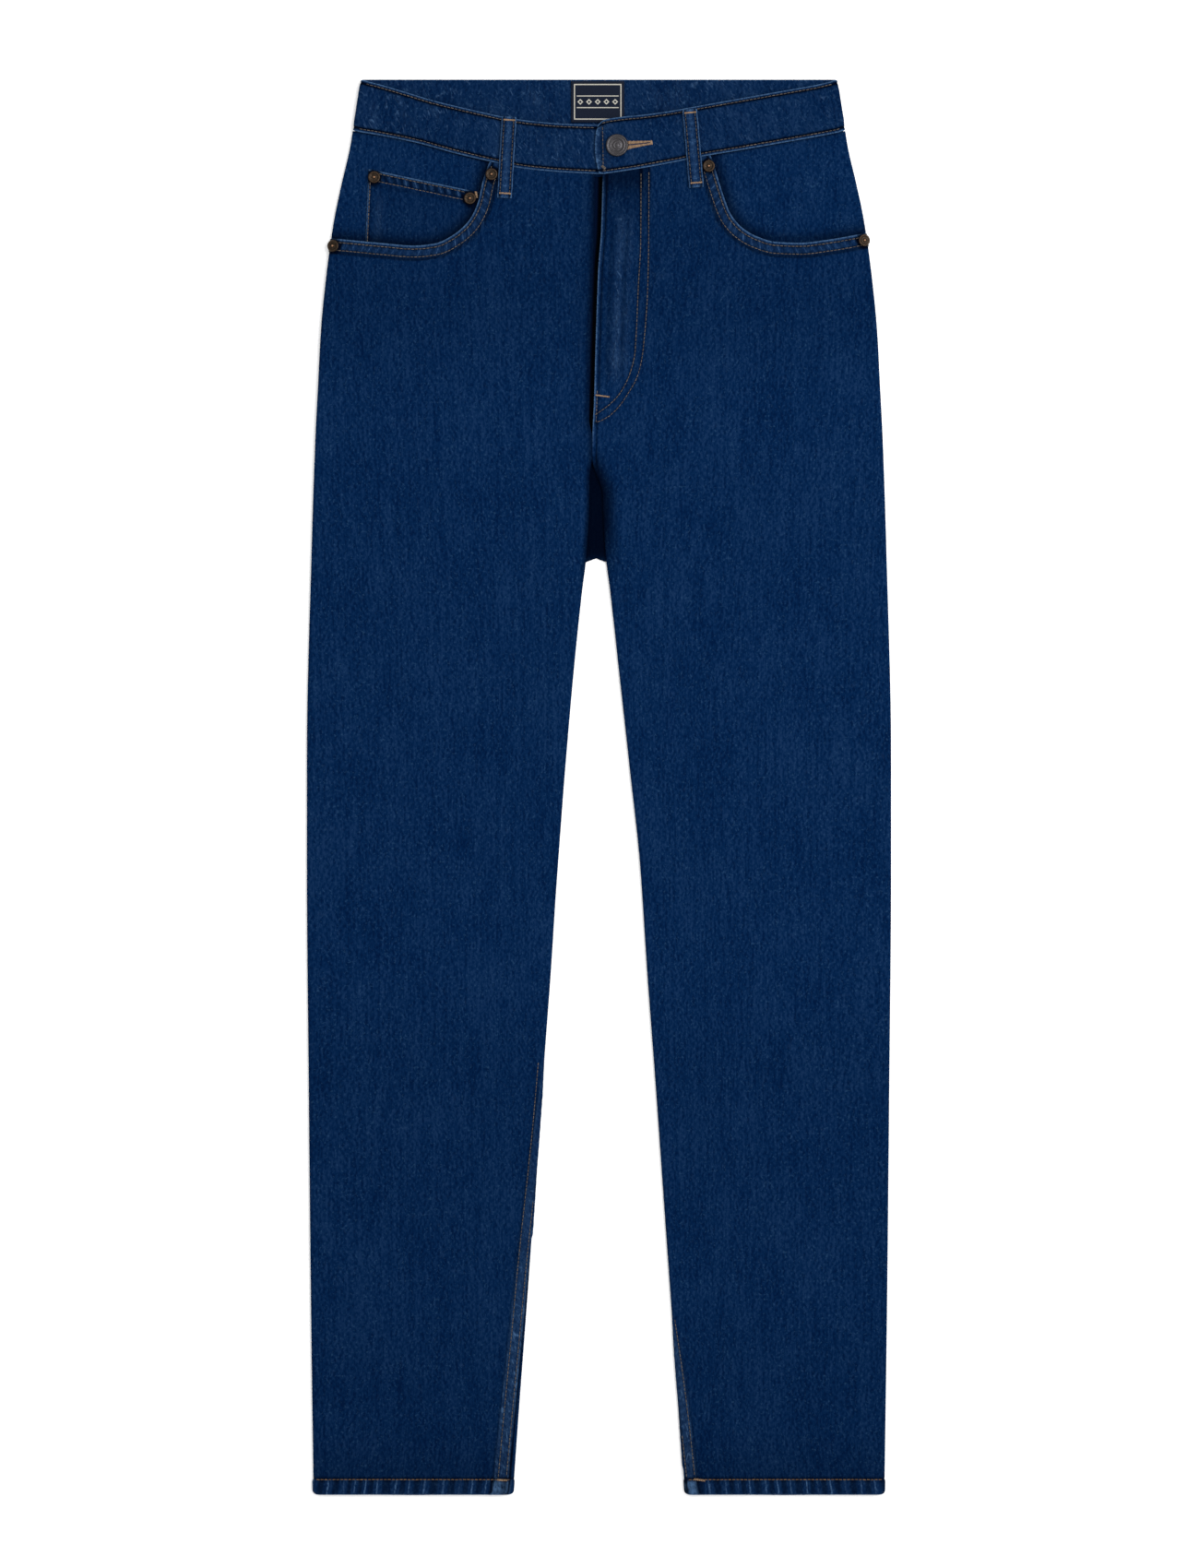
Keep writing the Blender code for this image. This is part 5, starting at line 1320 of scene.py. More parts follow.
def sewJeans():
    bandSurface = surfaceOf("waistbandCloth")
    rows = []
    for side in sides:
        for fromTop in (band["row"], -band["row"]):
            path = bandPath(side, fromTop)
            if side == "right":
                path = path[path[:, 0] < 0.5]
            else:
                path = path[path[:, 0] > 2.0]
            rows += threadRow(path)
    rows += threadRow([(2.6, 36.5), (2.9, 50.0), (3.2, 68.5)])
    rows += satinRow((2.2, 66.2), (4.6, 68.4), 2.2)
    sew("bandStitches", bandSurface, rows, 101)
    rows = []
    for below in (band["row"], band["backFoot"] - band["row"]):
        rows += threadRow([(-172.0, below), (172.0, below)])
    sew("bandBackStitches", bandSurface, rows, 103, under=True, radius=sewing["fine"], arch=0.06)

    for side in sides:
        sign = sides[side]
        surface = surfaceOf(pieceName("front", side))
        mouth = [(p[0], p[1]) for p in mouthEdge[side]]
        rows = []
        for offset, skip in zip(seamRows["mouth"], (2, 10)):
            path = offsetPath(mouth, sign * offset)[skip:]
            rows += threadRow(path)
        for offset in seamRows["fell"]:
            rows += threadRow(fellPath(side, offset))
        if side == "left":
            rows += threadRow(finePath(flyOuter, 1.0)[4:])
            rows += threadRow(finePath(flyInner, 1.0)[4:])
            rows += threadRow([(-1.4, 236.0), (-2.3, 262.0)], 2.7, 2.2)
        sew(pieceName("front", side, "Stitches"), surface, rows, 110 + int(sign))
        sew(
            pieceName("hem", side, "Stitches"), surface, threadRow(hemRow(side, 2.0, 2.5), 3.0, 2.6),
            120 + int(sign), radius=sewing["tack"],
        )
        if side == "left":
            tacks = satinRow((-2.4, 239.6), (7.8, 240.9), 1.2)
            tacks += satinRow((72.4, 1061.2), (80.6, 1062.4), 1.5, 0.7)
        else:
            tacks = satinRow((-77.0, 1061.6), (-69.6, 1062.0), 1.5, 0.7)
        sew(
            pieceName("front", side, "Tacks"), surface, tacks, 130 + int(sign), radius=sewing["tack"],
            arch=0.3,
        )

    coin = surfaceOf("coinPocketCloth")
    t = np.array(coinPocket["top"])
    run = unit(t[1] - t[0])
    down = np.array([-run[1], run[0]])
    rows = []
    for depth in seamRows["coin"]:
        rows += threadRow([tuple(t[0] + run * 2.0 + down * depth), tuple(t[1] - run * 9.0 + down * depth)])
    rows += threadRow([(-173.2, 72.0), (-177.4, 160.0)])
    sew("coinStitches", coin, rows, 141)
    sew(
        "coinTacks", coin,
        satinRow((-101.5, 82.2), (-96.0, 83.6), 1.8) + satinRow((-93.6, 84.6), (-92.6, 90.0), 1.8), 142,
        radius=0.28, arch=0.3,
    )

    for name in loops:
        start, end = np.array(loops[name][1]), np.array(loops[name][2])
        run = unit(end - start)
        side = np.array([-run[1], run[0]])
        surface = surfaceOf(name + "Cloth")
        back = "Back" in name
        rows = []
        for across in (-3.6, 3.6):
            rows += threadRow([start + run * 3.0 + side * across, end - run * 3.0 + side * across], 2.9, 2.35)
        sew(
            name + "Stitches", surface, rows, 150 + len(name), under=back, radius=0.22,
            arch=0.12 if back else 0.2,
        )
        tacks = []
        for middle in (start + run * 2.6, end - run * 3.4):
            tacks += satinRow(tuple(middle - side * 4.4), tuple(middle + side * 4.4), 1.3, 0.42)
        sew(
            name + "Tacks", surface, tacks, 170 + len(name), under=back, radius=0.22 if back else 0.3,
            arch=0.1 if back else 0.3,
        )

    for side in sides:
        sign = sides[side]
        surface = surfaceOf(pieceName("back", side))
        rows = []
        seat = np.linspace(116.0, 345.0, 40)
        for offset, onYoke in zip(seamRows["seat"], (True, False)):
            if side == "left":
                rows += threadRow(np.stack([along(legLine, seat) + offset, seat], 1))
            if onYoke:
                rows += threadRow(yokeRow(side, offset))
        rows += threadRow(hemRow(side, 4.0, 4.0))
        sew(
            pieceName("back", side, "Stitches"), surface, rows, 190 + int(sign), under=True,
            radius=sewing["fine"], arch=0.06,
        )
        surface = surfaceOf(pieceName("yoke", side))
        rows = threadRow(yokeRow(side, -2.0))
        sew(
            pieceName("yoke", side, "Stitches"), surface, rows, 194 + int(sign), under=True,
            radius=sewing["fine"], arch=0.06,
        )
        surface = surfaceOf(pieceName("backPocket", side))
        rows = []
        for inset in seamRows["patch"]:
            half, low = backPocket["width"] / 2, backPocket["height"]
            centre = sign * backPocket["centre"]
            shape = []
            for u, v in ((-1, 0), (-1, 1), (0, 1), (1, 1), (1, 0)):
                wide = (half - inset) * mix(1.0, backPocket["taper"], v)
                reach = (low - backPocket["point"] * abs(u)) * v
                shape.append((centre + u * wide, backPocket["top"] + reach - (inset if v else -1.0)))
            for a, b in zip(shape, shape[1:]):
                rows += threadRow([a, b])
        rows += threadRow([(centre + hand * (half - 3.0), backPocket["top"] + 13.0) for hand in (-1.0, 1.0)])
        sew(
            pieceName("backPocket", side, "Stitches"), surface, rows, 198 + int(sign), under=True,
            radius=sewing["fine"], arch=0.05,
        )
    sewn = [piece for name, piece in pieces.items() if name.endswith(("Stitches", "Tacks"))]
    print("jeans: sewn,", sum(len(piece.data.polygons) for piece in sewn), "thread faces")


sewJeans()


def turnedPiece(name, form, x, below, height, lean=0.0):
    # a profile turned round its axis, with small dents
    rng = np.random.default_rng(form["seed"])
    rings, segments = np.array(form["profile"]), form["segments"]
    turn = np.linspace(0.0, 2.0 * math.pi, segments, endpoint=False)
    points = [(0.0, 0.0, rings[0][1])]
    rim = rings[:, 0].max()
    dents = [(rng.uniform(0, 2 * math.pi), rng.uniform(1.0, rim), rng.uniform(0.4, 1.0)) for _ in range(14)]
    for radius, level in rings[1:-1]:
        shape = np.full(segments, level)
        for angle, reach, size in dents:
            acrossX = radius * np.cos(turn) - reach * math.cos(angle)
            acrossY = radius * np.sin(turn) - reach * math.sin(angle)
            shape = shape - form["dent"] * size * fade(np.hypot(acrossX, acrossY), 0.7) * (level > 0.9)
        points += list(zip(radius * np.cos(turn), radius * np.sin(turn), shape))
    points.append((0.0, 0.0, rings[-1][1]))
    faces = []
    for k in range(segments):
        after = (k + 1) % segments
        faces.append((0, 1 + k, 1 + after))
        for ring in range(len(rings) - 3):
            low, high = 1 + ring * segments, 1 + (ring + 1) * segments
            faces.append((low + k, high + k, high + after, low + after))
        low = 1 + (len(rings) - 3) * segments
        faces.append((len(points) - 1, low + after, low + k))
    points = np.array(points)
    angle = math.radians(lean)
    turnedX = points[:, 0] * math.cos(angle) - points[:, 2] * math.sin(angle)
    turnedZ = points[:, 0] * math.sin(angle) + points[:, 2] * math.cos(angle)
    placed = np.stack([turnedX + x, points[:, 1] + garment["length"] / 2 - below, turnedZ + height], 1)
    mesh = bpy.data.meshes.new(name)
    mesh.from_pydata((placed * 0.001).tolist(), [], faces)
    mesh.shade_smooth()
    spread = np.hypot(points[:, 0], points[:, 1])
    rubbed = (
        np.exp(-((spread / 0.85) ** 4)) * 0.75
        + 0.06 * fade(spread - 0.82 * rim, 0.07 * rim) * (points[:, 2] > 0.9)
    )
    addMark(mesh, "rubbed", rubbed * form["nub"])
    return linkPiece(name, mesh)


for name, node, x, below, lean in rivet["places"]:
    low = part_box(node)[0][2] * 1000.0
    if lean:
        low = float(along(sideTop, below)) + rivet["sideLift"]
    dress(turnedPiece(name, rivet, x, below, low, lean), node)
dress(turnedPiece("jeansButton", buttonShape, *buttonShape["place"]), "button")
print("jeans: rivets and button turned")


# Buttonhole: close threads fanned round the slit
hole = {"start": (20.4, 50.6), "end": (38.6, 48.6), "wide": 3.6, "narrow": 1.5}


def buttonholeStitches():
    start, end = np.array(hole["start"]), np.array(hole["end"])
    size = float(np.hypot(*(end - start)))
    run = (end - start) / size
    side = np.array([-run[1], run[0]])
    made = []
    for s in np.arange(0.0, size, 0.52):
        reach = mix(hole["wide"], hole["narrow"], (s / size) ** 0.8)
        middle = start + run * s
        for hand in (-1.0, 1.0):
            made.append([middle + side * hand * 0.25 - run * 0.2, middle + side * hand * reach + run * 0.35])
    made += satinRow(tuple(end + run * 0.2), tuple(end + run * 1.6), 3.4, 0.45)
    return made


holeThread = sewPiece("buttonholeThread", surfaceOf("waistbandCloth"), buttonholeStitches(), 205, 0.3, 0.34)
dress(holeThread, "buttonhole")


# Zip: its tape behind the fly, and two columns of teeth under the left front
zipParts = {
    "tapeFrom": -13.0, "tapeTo": 17.0, "top": 74.0, "foot": 266.0, "tapeTop": 3.8, "teeth": 8.0, "pitch": 2.1,
    "levels": ((4.1, 1.0), (4.6, 1.0), (4.85, 0.7)),
}


def zipTape():
    across = np.linspace(zipParts["tapeFrom"], zipParts["tapeTo"], 16)
    below = np.linspace(zipParts["top"], zipParts["foot"], 70)
    u, v = np.meshgrid(across, below)
    x = u + along(centreEdge["left"], v)
    base = place3(x, v, zipParts["tapeTop"] + 0.05 * np.sin(u * 2.0))
    under = base - np.array([0.0, 0.0, 1.0])
    return shellPiece(
        "zipTapeCloth", base, under, np.stack([u, v], -1), {"worn": 0 * u}, (0.2, 0.2, 0.2, 0.2),
    )


def zipTeeth():
    points, faces = [], []
    corners = ((-1, -1), (1, -1), (1, 1), (-1, 1))
    for i, below in enumerate(np.arange(80.0, 250.0, zipParts["pitch"] / 2)):
        hand = 1.0 if i % 2 else -1.0
        middle = float(along(centreEdge["left"], below)) + zipParts["teeth"] + hand * 0.9
        start = len(points)
        for level, grow in zipParts["levels"]:
            for cx, cy in corners:
                y = garment["length"] / 2 - below + cy * 0.42 * grow
                points.append((middle + cx * 1.5 * grow, y, level))
        for low in (start, start + 4):
            for k in range(4):
                after = (k + 1) % 4
                faces.append((low + k, low + after, low + 4 + after, low + 4 + k))
        faces.append((start + 3, start + 2, start + 1, start))
        faces.append((start + 8, start + 9, start + 10, start + 11))
    mesh = bpy.data.meshes.new("zipTeeth")
    mesh.from_pydata((np.array(points) * 0.001).tolist(), [], faces)
    return linkPiece("zipTeeth", mesh)


dress(zipTape(), "zip_tape")
dress(zipTeeth(), "zip_chain")


# Label: a plain woven patch with a thin border and a row of small lozenges
patch = {
    "left": -21.0, "right": 19.0, "top": 1.6, "foot": 32.6, "height": 4.95, "wall": 0.9, "step": 6.6,
    "lines": 4.4,
}


def labelPatch():
    across = np.linspace(patch["left"], patch["right"], 61)
    below = np.linspace(patch["top"], patch["foot"], 48)
    u, v = np.meshgrid(across, below)
    edge = np.min([u - patch["left"], patch["right"] - u, v - patch["top"], patch["foot"] - v], axis=0)
    wave = 0.12 * np.sin(u / 7.0 + 0.6) * np.sin(v / 9.0)
    z = patch["height"] + wave - 0.25 * fade(edge, 0.6) + 0.1 * bump(edge, 1.6, 0.5)
    base = place3(u, v, z)
    middled = np.stack([u - (patch["left"] + patch["right"]) / 2, v - (patch["top"] + patch["foot"]) / 2], -1)
    under = base - np.array([0.0, 0.0, patch["wall"]])
    return shellPiece("labelPatch", base, under, middled, {"worn": 0 * u}, (0.2, 0.2, 0.2, 0.2))


dress(labelPatch(), "label")
print("jeans: buttonhole, zip and label made")


# Node helpers
def put(tree, kind, settings=None, values=None):
    made = tree.nodes.new(kind)
    for key, value in (settings or {}).items():
        setattr(made, key, value)
    for key, value in (values or {}).items():
        if isinstance(value, bpy.types.NodeSocket):
            tree.links.new(value, made.inputs[key])
        else:
            made.inputs[key].default_value = value
    return made


def calc(tree, operation, a, b=0.0, c=0.0):
    return put(tree, "ShaderNodeMath", {"operation": operation}, {0: a, 1: b, 2: c}).outputs[0]


def times(tree, a, b):
    return calc(tree, "MULTIPLY", a, b)


def timesAdd(tree, a, b, c):
    return calc(tree, "MULTIPLY_ADD", a, b, c)


def centred(tree, value):
    return calc(tree, "SUBTRACT", value, 0.5)


def absolute(tree, value):
    return calc(tree, "ABSOLUTE", value)


def vectorCalc(tree, operation, vector, other):
    return put(tree, "ShaderNodeVectorMath", {"operation": operation}, {0: vector, 1: other}).outputs[0]


def turnedBy(tree, vector, angle):
    values = {"Vector": vector, "Angle": angle}
    return put(tree, "ShaderNodeVectorRotate", {"rotation_type": "Z_AXIS"}, values).outputs[0]


def axes(tree, vector):
    return put(tree, "ShaderNodeSeparateXYZ", None, {0: vector}).outputs


def spots(tree, vector, size, detail=2.0, rough=0.5):
    # noise with its own size on each axis, in turns for each mm
    values = {
        "Vector": vectorCalc(tree, "MULTIPLY", vector, size), "Scale": 1.0, "Detail": detail,
        "Roughness": rough,
    }
    return put(tree, "ShaderNodeTexNoise", None, values).outputs[0]


def streaks(tree, vector, wide, tall, detail=2.0, rough=0.5):
    # noise in streaks of a width and length in mm
    return spots(tree, vector, (1 / wide, 1 / tall, 1.0), detail, rough)


def ramp(tree, value, low, high, first=0.0, last=1.0, kind="SMOOTHSTEP"):
    values = {0: value, 1: low, 2: high, 3: first, 4: last}
    return put(tree, "ShaderNodeMapRange", {"interpolation_type": kind}, values).outputs[0]


def opaque(colour):
    return colour + (1.0,) if isinstance(colour, tuple) else colour


def blend(tree, share, first, second):
    values = {0: share, 6: opaque(first), 7: opaque(second)}
    return put(tree, "ShaderNodeMix", {"data_type": "RGBA"}, values).outputs[2]


def tones(tree, value, stops):
    made = put(tree, "ShaderNodeValToRGB", None, {0: value})
    line = made.color_ramp
    while len(line.elements) > 1:
        line.elements.remove(line.elements[-1])
    line.elements[0].position, line.elements[0].color = stops[0][0], opaque(stops[0][1])
    for position, colour in stops[1:]:
        line.elements.new(position).color = opaque(colour)
    return made.outputs[0]


def startGroup(name, inputs, outputs):
    # every group takes Place, in mm on the cloth or the metal, and its own numbers
    tree = bpy.data.node_groups.new(name, "ShaderNodeTree")
    tree.interface.new_socket("Place", in_out="INPUT", socket_type="NodeSocketVector")
    for label, value in inputs.items():
        socket = tree.interface.new_socket(label, in_out="INPUT", socket_type="NodeSocketFloat")
        socket.default_value = value
    for label in outputs:
        tree.interface.new_socket(label, in_out="OUTPUT", socket_type="NodeSocketFloat")
    start = tree.nodes.new("NodeGroupInput").outputs
    return tree, start, start["Place"], tree.nodes.new("NodeGroupOutput")


def finishGroup(tree, end, **results):
    for label, value in results.items():
        tree.links.new(value, end.inputs[label])
    return tree


def denimYarnGroup():
    # warp slubs, fine yarn grain and pale flecks
    tree, start, place, end = startGroup(
        "denimYarn", {"Slub": 1.0, "Cloud": 1.0}, ("Tone", "Fleck", "Height"),
    )
    slub = streaks(tree, place, 1.5, 12.0, 2.0, 0.55)
    longSlub = streaks(tree, place, 4.2, 60.0, 1.0)
    beside = vectorCalc(tree, "ADD", place, (2.1, 0.0, 0.0))
    grains = [streaks(tree, spot, 1.7, 3.2, 1.0) for spot in (place, beside)]
    grain = timesAdd(tree, centred(tree, grains[1]), -0.3, grains[0])
    cloud = streaks(tree, place, 46.0, 70.0, 3.0, 0.55)
    clump = streaks(tree, place, 11.0, 17.0)
    tone = timesAdd(tree, times(tree, centred(tree, slub), start["Slub"]), 0.9, 0.5)
    tone = timesAdd(tree, centred(tree, longSlub), 0.5, tone)
    tone = timesAdd(tree, centred(tree, grain), 1.1, tone)
    tone = timesAdd(tree, centred(tree, cloud), start["Cloud"], tone)
    # flecks lie in small curls, thicker in some spots than in others
    curl = absolute(tree, centred(tree, streaks(tree, place, 2.4, 3.6, 1.0)))
    often = times(tree, centred(tree, clump), 0.34)
    spot = calc(tree, "ADD", streaks(tree, place, 1.5, 2.0, 1.0, 0.4), often)
    fleck = times(tree, ramp(tree, curl, 0.055, 0.0), ramp(tree, spot, 0.5, 0.68))
    # twill lines climb to the right
    x, y, _ = axes(tree, place)
    twill = calc(tree, "SINE", times(tree, timesAdd(tree, y, 0.62, x), 2.0 * math.pi / 0.9))
    return finishGroup(tree, end, Tone=tone, Fleck=fleck, Height=timesAdd(tree, twill, 0.18, slub))


def seamPuckerGroup():
    # a thin pale ridge on every whole number of Phase, each of its own strength
    tree, start, place, end = startGroup("seamPucker", {"Phase": 0.0, "Amount": 0.0}, ("Ridge", "Trough"))
    wobble = centred(tree, streaks(tree, place, 6.0, 6.0))
    phase = timesAdd(tree, wobble, 0.16, start["Phase"])
    wave = calc(tree, "COSINE", times(tree, phase, 2.0 * math.pi))
    whole = calc(tree, "ROUND", start["Phase"])
    own = put(tree, "ShaderNodeTexWhiteNoise", {"noise_dimensions": "1D"}, {"W": whole}).outputs[0]
    strength = times(tree, ramp(tree, own, 0.0, 1.0, 0.25, 1.0), start["Amount"])
    ridge = times(tree, ramp(tree, wave, 0.9, 0.99), strength)
    # Trough is painted shade in the hollows between the ridges
    trough = times(tree, ramp(tree, wave, 0.2, -0.8), start["Amount"])
    return finishGroup(tree, end, Ridge=ridge, Trough=trough)


def creaseLinesGroup():
    # thin curved crease lines that run the way of Lean, each broken off where its mask ends
    tree, start, place, end = startGroup("creaseLines", {"Lean": 30.0}, ("Line",))
    leaned = turnedBy(tree, place, calc(tree, "RADIANS", start["Lean"]))
    total = None
    for shift, wide, tall, width in ((0.0, 7.0, 30.0, 0.034), (40.0, 5.0, 16.0, 0.045)):
        shifted = vectorCalc(tree, "ADD", leaned, (shift, shift, 0.0))
        field = absolute(tree, centred(tree, streaks(tree, shifted, wide, tall, 0.0)))
        mask = ramp(tree, streaks(tree, shifted, 5.0, 7.0, 1.0), 0.52, 0.72)
        line = times(tree, ramp(tree, field, width, 0.0), mask)
        total = line if total is None else calc(tree, "MAXIMUM", total, line)
    blotch = ramp(tree, streaks(tree, leaned, 2.6, 6.0, 3.0, 0.62), 0.52, 0.74)
    patchy = ramp(tree, streaks(tree, leaned, 12.0, 16.0), 0.47, 0.68)
    return finishGroup(tree, end, Line=timesAdd(tree, times(tree, blotch, patchy), 0.85, total))


def clothWearAndShadeGroup():
    # breaks the marks of wear into short slanting streaks, and passes the painted shade on as Dark
    inputs = {"Worn": 0.0, "Shade": 0.0, "Slant": 30.0}
    tree, start, place, end = startGroup("clothWear", inputs, ("Pale", "Dark"))
    leaned = turnedBy(tree, place, calc(tree, "RADIANS", start["Slant"]))
    streak = centred(tree, streaks(tree, leaned, 1.3, 4.0, 2.0, 0.6))
    fine = centred(tree, streaks(tree, place, 0.8, 1.4, 1.0))
    gritty = timesAdd(tree, streak, 2.4, times(tree, fine, 1.5))
    share = calc(tree, "MINIMUM", times(tree, start["Worn"], 1.7), 1.0)
    worn = calc(tree, "ADD", start["Worn"], times(tree, gritty, share))
    pale = ramp(tree, worn, 0.0, 1.1, 0.0, 1.0, "LINEAR")
    return finishGroup(tree, end, Pale=pale, Dark=calc(tree, "MINIMUM", start["Shade"], 1.0))


def threadPlyGroup():
    # the twist of a sewing thread and its uneven dye
    tree, start, place, end = startGroup("threadPly", {"Tint": 0.5}, ("Tone", "Height"))
    x, y, _ = axes(tree, place)
    ply = calc(tree, "SINE", times(tree, timesAdd(tree, y, 1.1, x), 2.0 * math.pi / 0.55))
    fuzz = spots(tree, place, (3.0, 2.0, 1.0))
    dye = timesAdd(tree, start["Tint"], 0.5, times(tree, fuzz, 0.5))
    return finishGroup(tree, end, Tone=timesAdd(tree, ply, 0.12, dye), Height=ply)


def agedMetalGroup():
    # tarnish in the hollows, small scratches and pits
    tree, start, place, end = startGroup("agedMetal", {"Grime": 0.5}, ("Tarnish", "Scratch", "Height"))
    blotch = spots(tree, place, (0.9, 0.9, 0.9), 4.0, 0.65)
    pits = spots(tree, place, (3.2, 3.2, 3.2), 3.0, 0.6)
    grime = times(tree, start["Grime"], 0.5)
    tarnish = ramp(tree, timesAdd(tree, blotch, 0.7, grime), 0.35, 0.85)
    scratch = spots(tree, turnedBy(tree, place, math.radians(35.0)), (6.0, 0.5, 2.0))
    scratch = ramp(tree, scratch, 0.6, 0.75)
    height = timesAdd(tree, pits, 0.6, times(tree, scratch, -0.4))
    return finishGroup(tree, end, Tarnish=tarnish, Scratch=scratch, Height=height)


def ribWeaveGroup():
    # close ribs of a woven tape or patch
    tree, start, place, end = startGroup("ribWeave", {"Rib": 0.7}, ("Tone", "Height"))
    x, y, _ = axes(tree, place)
    turns = [calc(tree, "DIVIDE", times(tree, way, 2.0 * math.pi), start["Rib"]) for way in (y, x)]
    height = times(tree, *(calc(tree, "SINE", turn) for turn in turns))
    tone = timesAdd(tree, height, 0.12, spots(tree, place, (1.4, 1.4, 1.0), 3.0))
    return finishGroup(tree, end, Tone=tone, Height=height)


groups = {
    "yarn": denimYarnGroup(), "wearAndShade": clothWearAndShadeGroup(), "pucker": seamPuckerGroup(),
    "lines": creaseLinesGroup(), "ply": threadPlyGroup(), "metal": agedMetalGroup(), "rib": ribWeaveGroup(),
}


def useGroup(tree, key, **values):
    return put(tree, "ShaderNodeGroup", {"node_tree": groups[key]}, values).outputs


def startMaterial(name, values):
    made = bpy.data.materials.new(name)
    made.use_nodes = True
    tree = made.node_tree
    shader = tree.nodes["Principled BSDF"]
    for key, value in values.items():
        shader.inputs[key].default_value = value
    return made, tree, shader


def feed(tree, shader, colour, height, distance, strength, rough=None):
    # colour, roughness and relief into the Principled BSDF
    tree.links.new(colour, shader.inputs["Base Color"])
    if rough is not None:
        tree.links.new(rough, shader.inputs["Roughness"])
    relief = put(tree, "ShaderNodeBump", None, {"Strength": strength, "Distance": distance, "Height": height})
    tree.links.new(relief.outputs[0], shader.inputs["Normal"])


def inMillimetres(tree, vector):
    return vectorCalc(tree, "MULTIPLY", vector, (1000.0, 1000.0, 1000.0))


def clothPlace(tree):
    return inMillimetres(tree, put(tree, "ShaderNodeUVMap", {"uv_map": "clothMap"}).outputs[0])


def mark(tree, name):
    return put(tree, "ShaderNodeAttribute", {"attribute_name": name}).outputs["Fac"]


denims = {
    "legDenim": dict(slub=0.9, cloud=0.5, slant=12.0, gain=0.93, grey=0.0, lean=8.0, lines=0.055),
    "bandDenim": dict(slub=0.8, cloud=0.9, slant=30.0, gain=0.8, grey=0.03, lean=30.0, lines=0.0),
    "innerDenim": dict(slub=0.8, cloud=0.5, slant=10.0, gain=0.9, grey=0.0, lean=12.0, lines=0.04),
    "loopDenim": dict(slub=0.8, cloud=0.6, slant=18.0, gain=0.92, grey=0.0, lean=20.0, lines=0.0),
}
indigo = {
    "deep": (0.00035, 0.0056, 0.0265), "body": (0.0009, 0.0096, 0.0385), "light": (0.0038, 0.0160, 0.0515),
    "fleck": (0.0165, 0.0480, 0.1000), "pale": (0.056, 0.118, 0.224), "shadow": (0.0001, 0.0008, 0.0035),
    "grey": (0.0044, 0.0113, 0.0320), "fleckShare": 0.38, "paleShare": 0.62, "shadowShare": 0.96,
}


def denimMaterial(name):
    look = denims[name]
    made, tree, shader = startMaterial(name, {"Roughness": 0.95, "Specular IOR Level": 0.004})
    place = clothPlace(tree)
    yarn = useGroup(tree, "yarn", Place=place, Slub=look["slub"], Cloud=look["cloud"])
    seam = useGroup(tree, "pucker", Place=place, Phase=mark(tree, "pucker"), Amount=mark(tree, "puckerOn"))
    fell = useGroup(tree, "pucker", Place=place, Phase=mark(tree, "fell"), Amount=mark(tree, "fellOn"))
    ridges = calc(tree, "ADD", seam["Ridge"], fell["Ridge"])
    troughs = calc(tree, "ADD", seam["Trough"], fell["Trough"])
    worn = timesAdd(tree, ridges, 0.5, mark(tree, "worn"))
    lines = useGroup(tree, "lines", Place=place, Lean=look["lean"])["Line"]
    worn = timesAdd(tree, lines, calc(tree, "ADD", mark(tree, "lined"), look["lines"]), worn)
    # painted shade: the pucker troughs and the shade mark darken the denim towards the shadow colour
    shade = timesAdd(tree, troughs, 0.3, mark(tree, "shade"))
    wearAndShade = useGroup(tree, "wearAndShade", Place=place, Worn=worn, Shade=shade, Slant=look["slant"])
    dyes = ((0.22, "deep"), (0.5, "body"), (0.8, "light"))
    stops = [(at, tuple(v * look["gain"] for v in indigo[key])) for at, key in dyes]
    colour = blend(tree, look["grey"], tones(tree, yarn["Tone"], stops), indigo["grey"])
    for share, key in ((yarn["Fleck"], "fleck"), (wearAndShade["Pale"], "pale"), (wearAndShade["Dark"], "shadow")):
        colour = blend(tree, times(tree, share, indigo[key + "Share"]), colour, indigo[key])
    height = timesAdd(tree, lines, 0.5, yarn["Height"])
    feed(tree, shader, colour, height, 0.00016, 0.6, ramp(tree, yarn["Tone"], 0.2, 0.8, 0.97, 0.88))
    return made


def threadMaterial(name, dark, light):
    made, tree, shader = startMaterial(name, {"Roughness": 0.75, "Specular IOR Level": 0.12})
    ply = useGroup(tree, "ply", Place=clothPlace(tree), Tint=mark(tree, "tint"))
    colour = tones(tree, ply["Tone"], [(0.15, dark), (0.85, light)])
    feed(tree, shader, colour, ply["Height"], 0.00006, 0.6, ramp(tree, ply["Tone"], 0.1, 0.9, 0.85, 0.65))
    return made


def metalMaterial(name, dark, light, rough, grime):
    made, tree, shader = startMaterial(name, {"Metallic": 1.0})
    place = inMillimetres(tree, put(tree, "ShaderNodeTexCoord").outputs["Object"])
    age = useGroup(tree, "metal", Place=place, Grime=grime)
    colour = blend(tree, age["Tarnish"], light, dark)
    colour = blend(tree, times(tree, age["Scratch"], 0.25), colour, tuple(min(v * 1.8, 1.0) for v in light))
    colour = blend(tree, mark(tree, "rubbed"), colour, (0.30, 0.165, 0.095))
    feed(tree, shader, colour, age["Height"], 0.00012, 0.5, ramp(tree, age["Tarnish"], 0.0, 1.0, *rough))
    return made


def tapeMaterial():
    made, tree, shader = startMaterial("zipTapeWeave", {"Roughness": 0.9, "Specular IOR Level": 0.01})
    rib = useGroup(tree, "rib", Place=clothPlace(tree), Rib=0.9)
    # painted shadow: the tape is near black, as the deep shadow in the fly gap
    black = tones(tree, rib["Tone"], [(0.3, (0.0001, 0.0002, 0.0006)), (0.7, (0.0004, 0.0007, 0.0017))])
    # painted shade: the strip beside the right front is tinted as that front's denim in shade
    across = axes(tree, clothPlace(tree))[0]
    shadedStrip = blend(tree, rib["Tone"], (0.0002, 0.0022, 0.0105), (0.0004, 0.0036, 0.0160))
    feed(tree, shader, blend(tree, ramp(tree, across, -4.6, -2.4), shadedStrip, black), rib["Height"], 0.00008, 0.5)
    return made


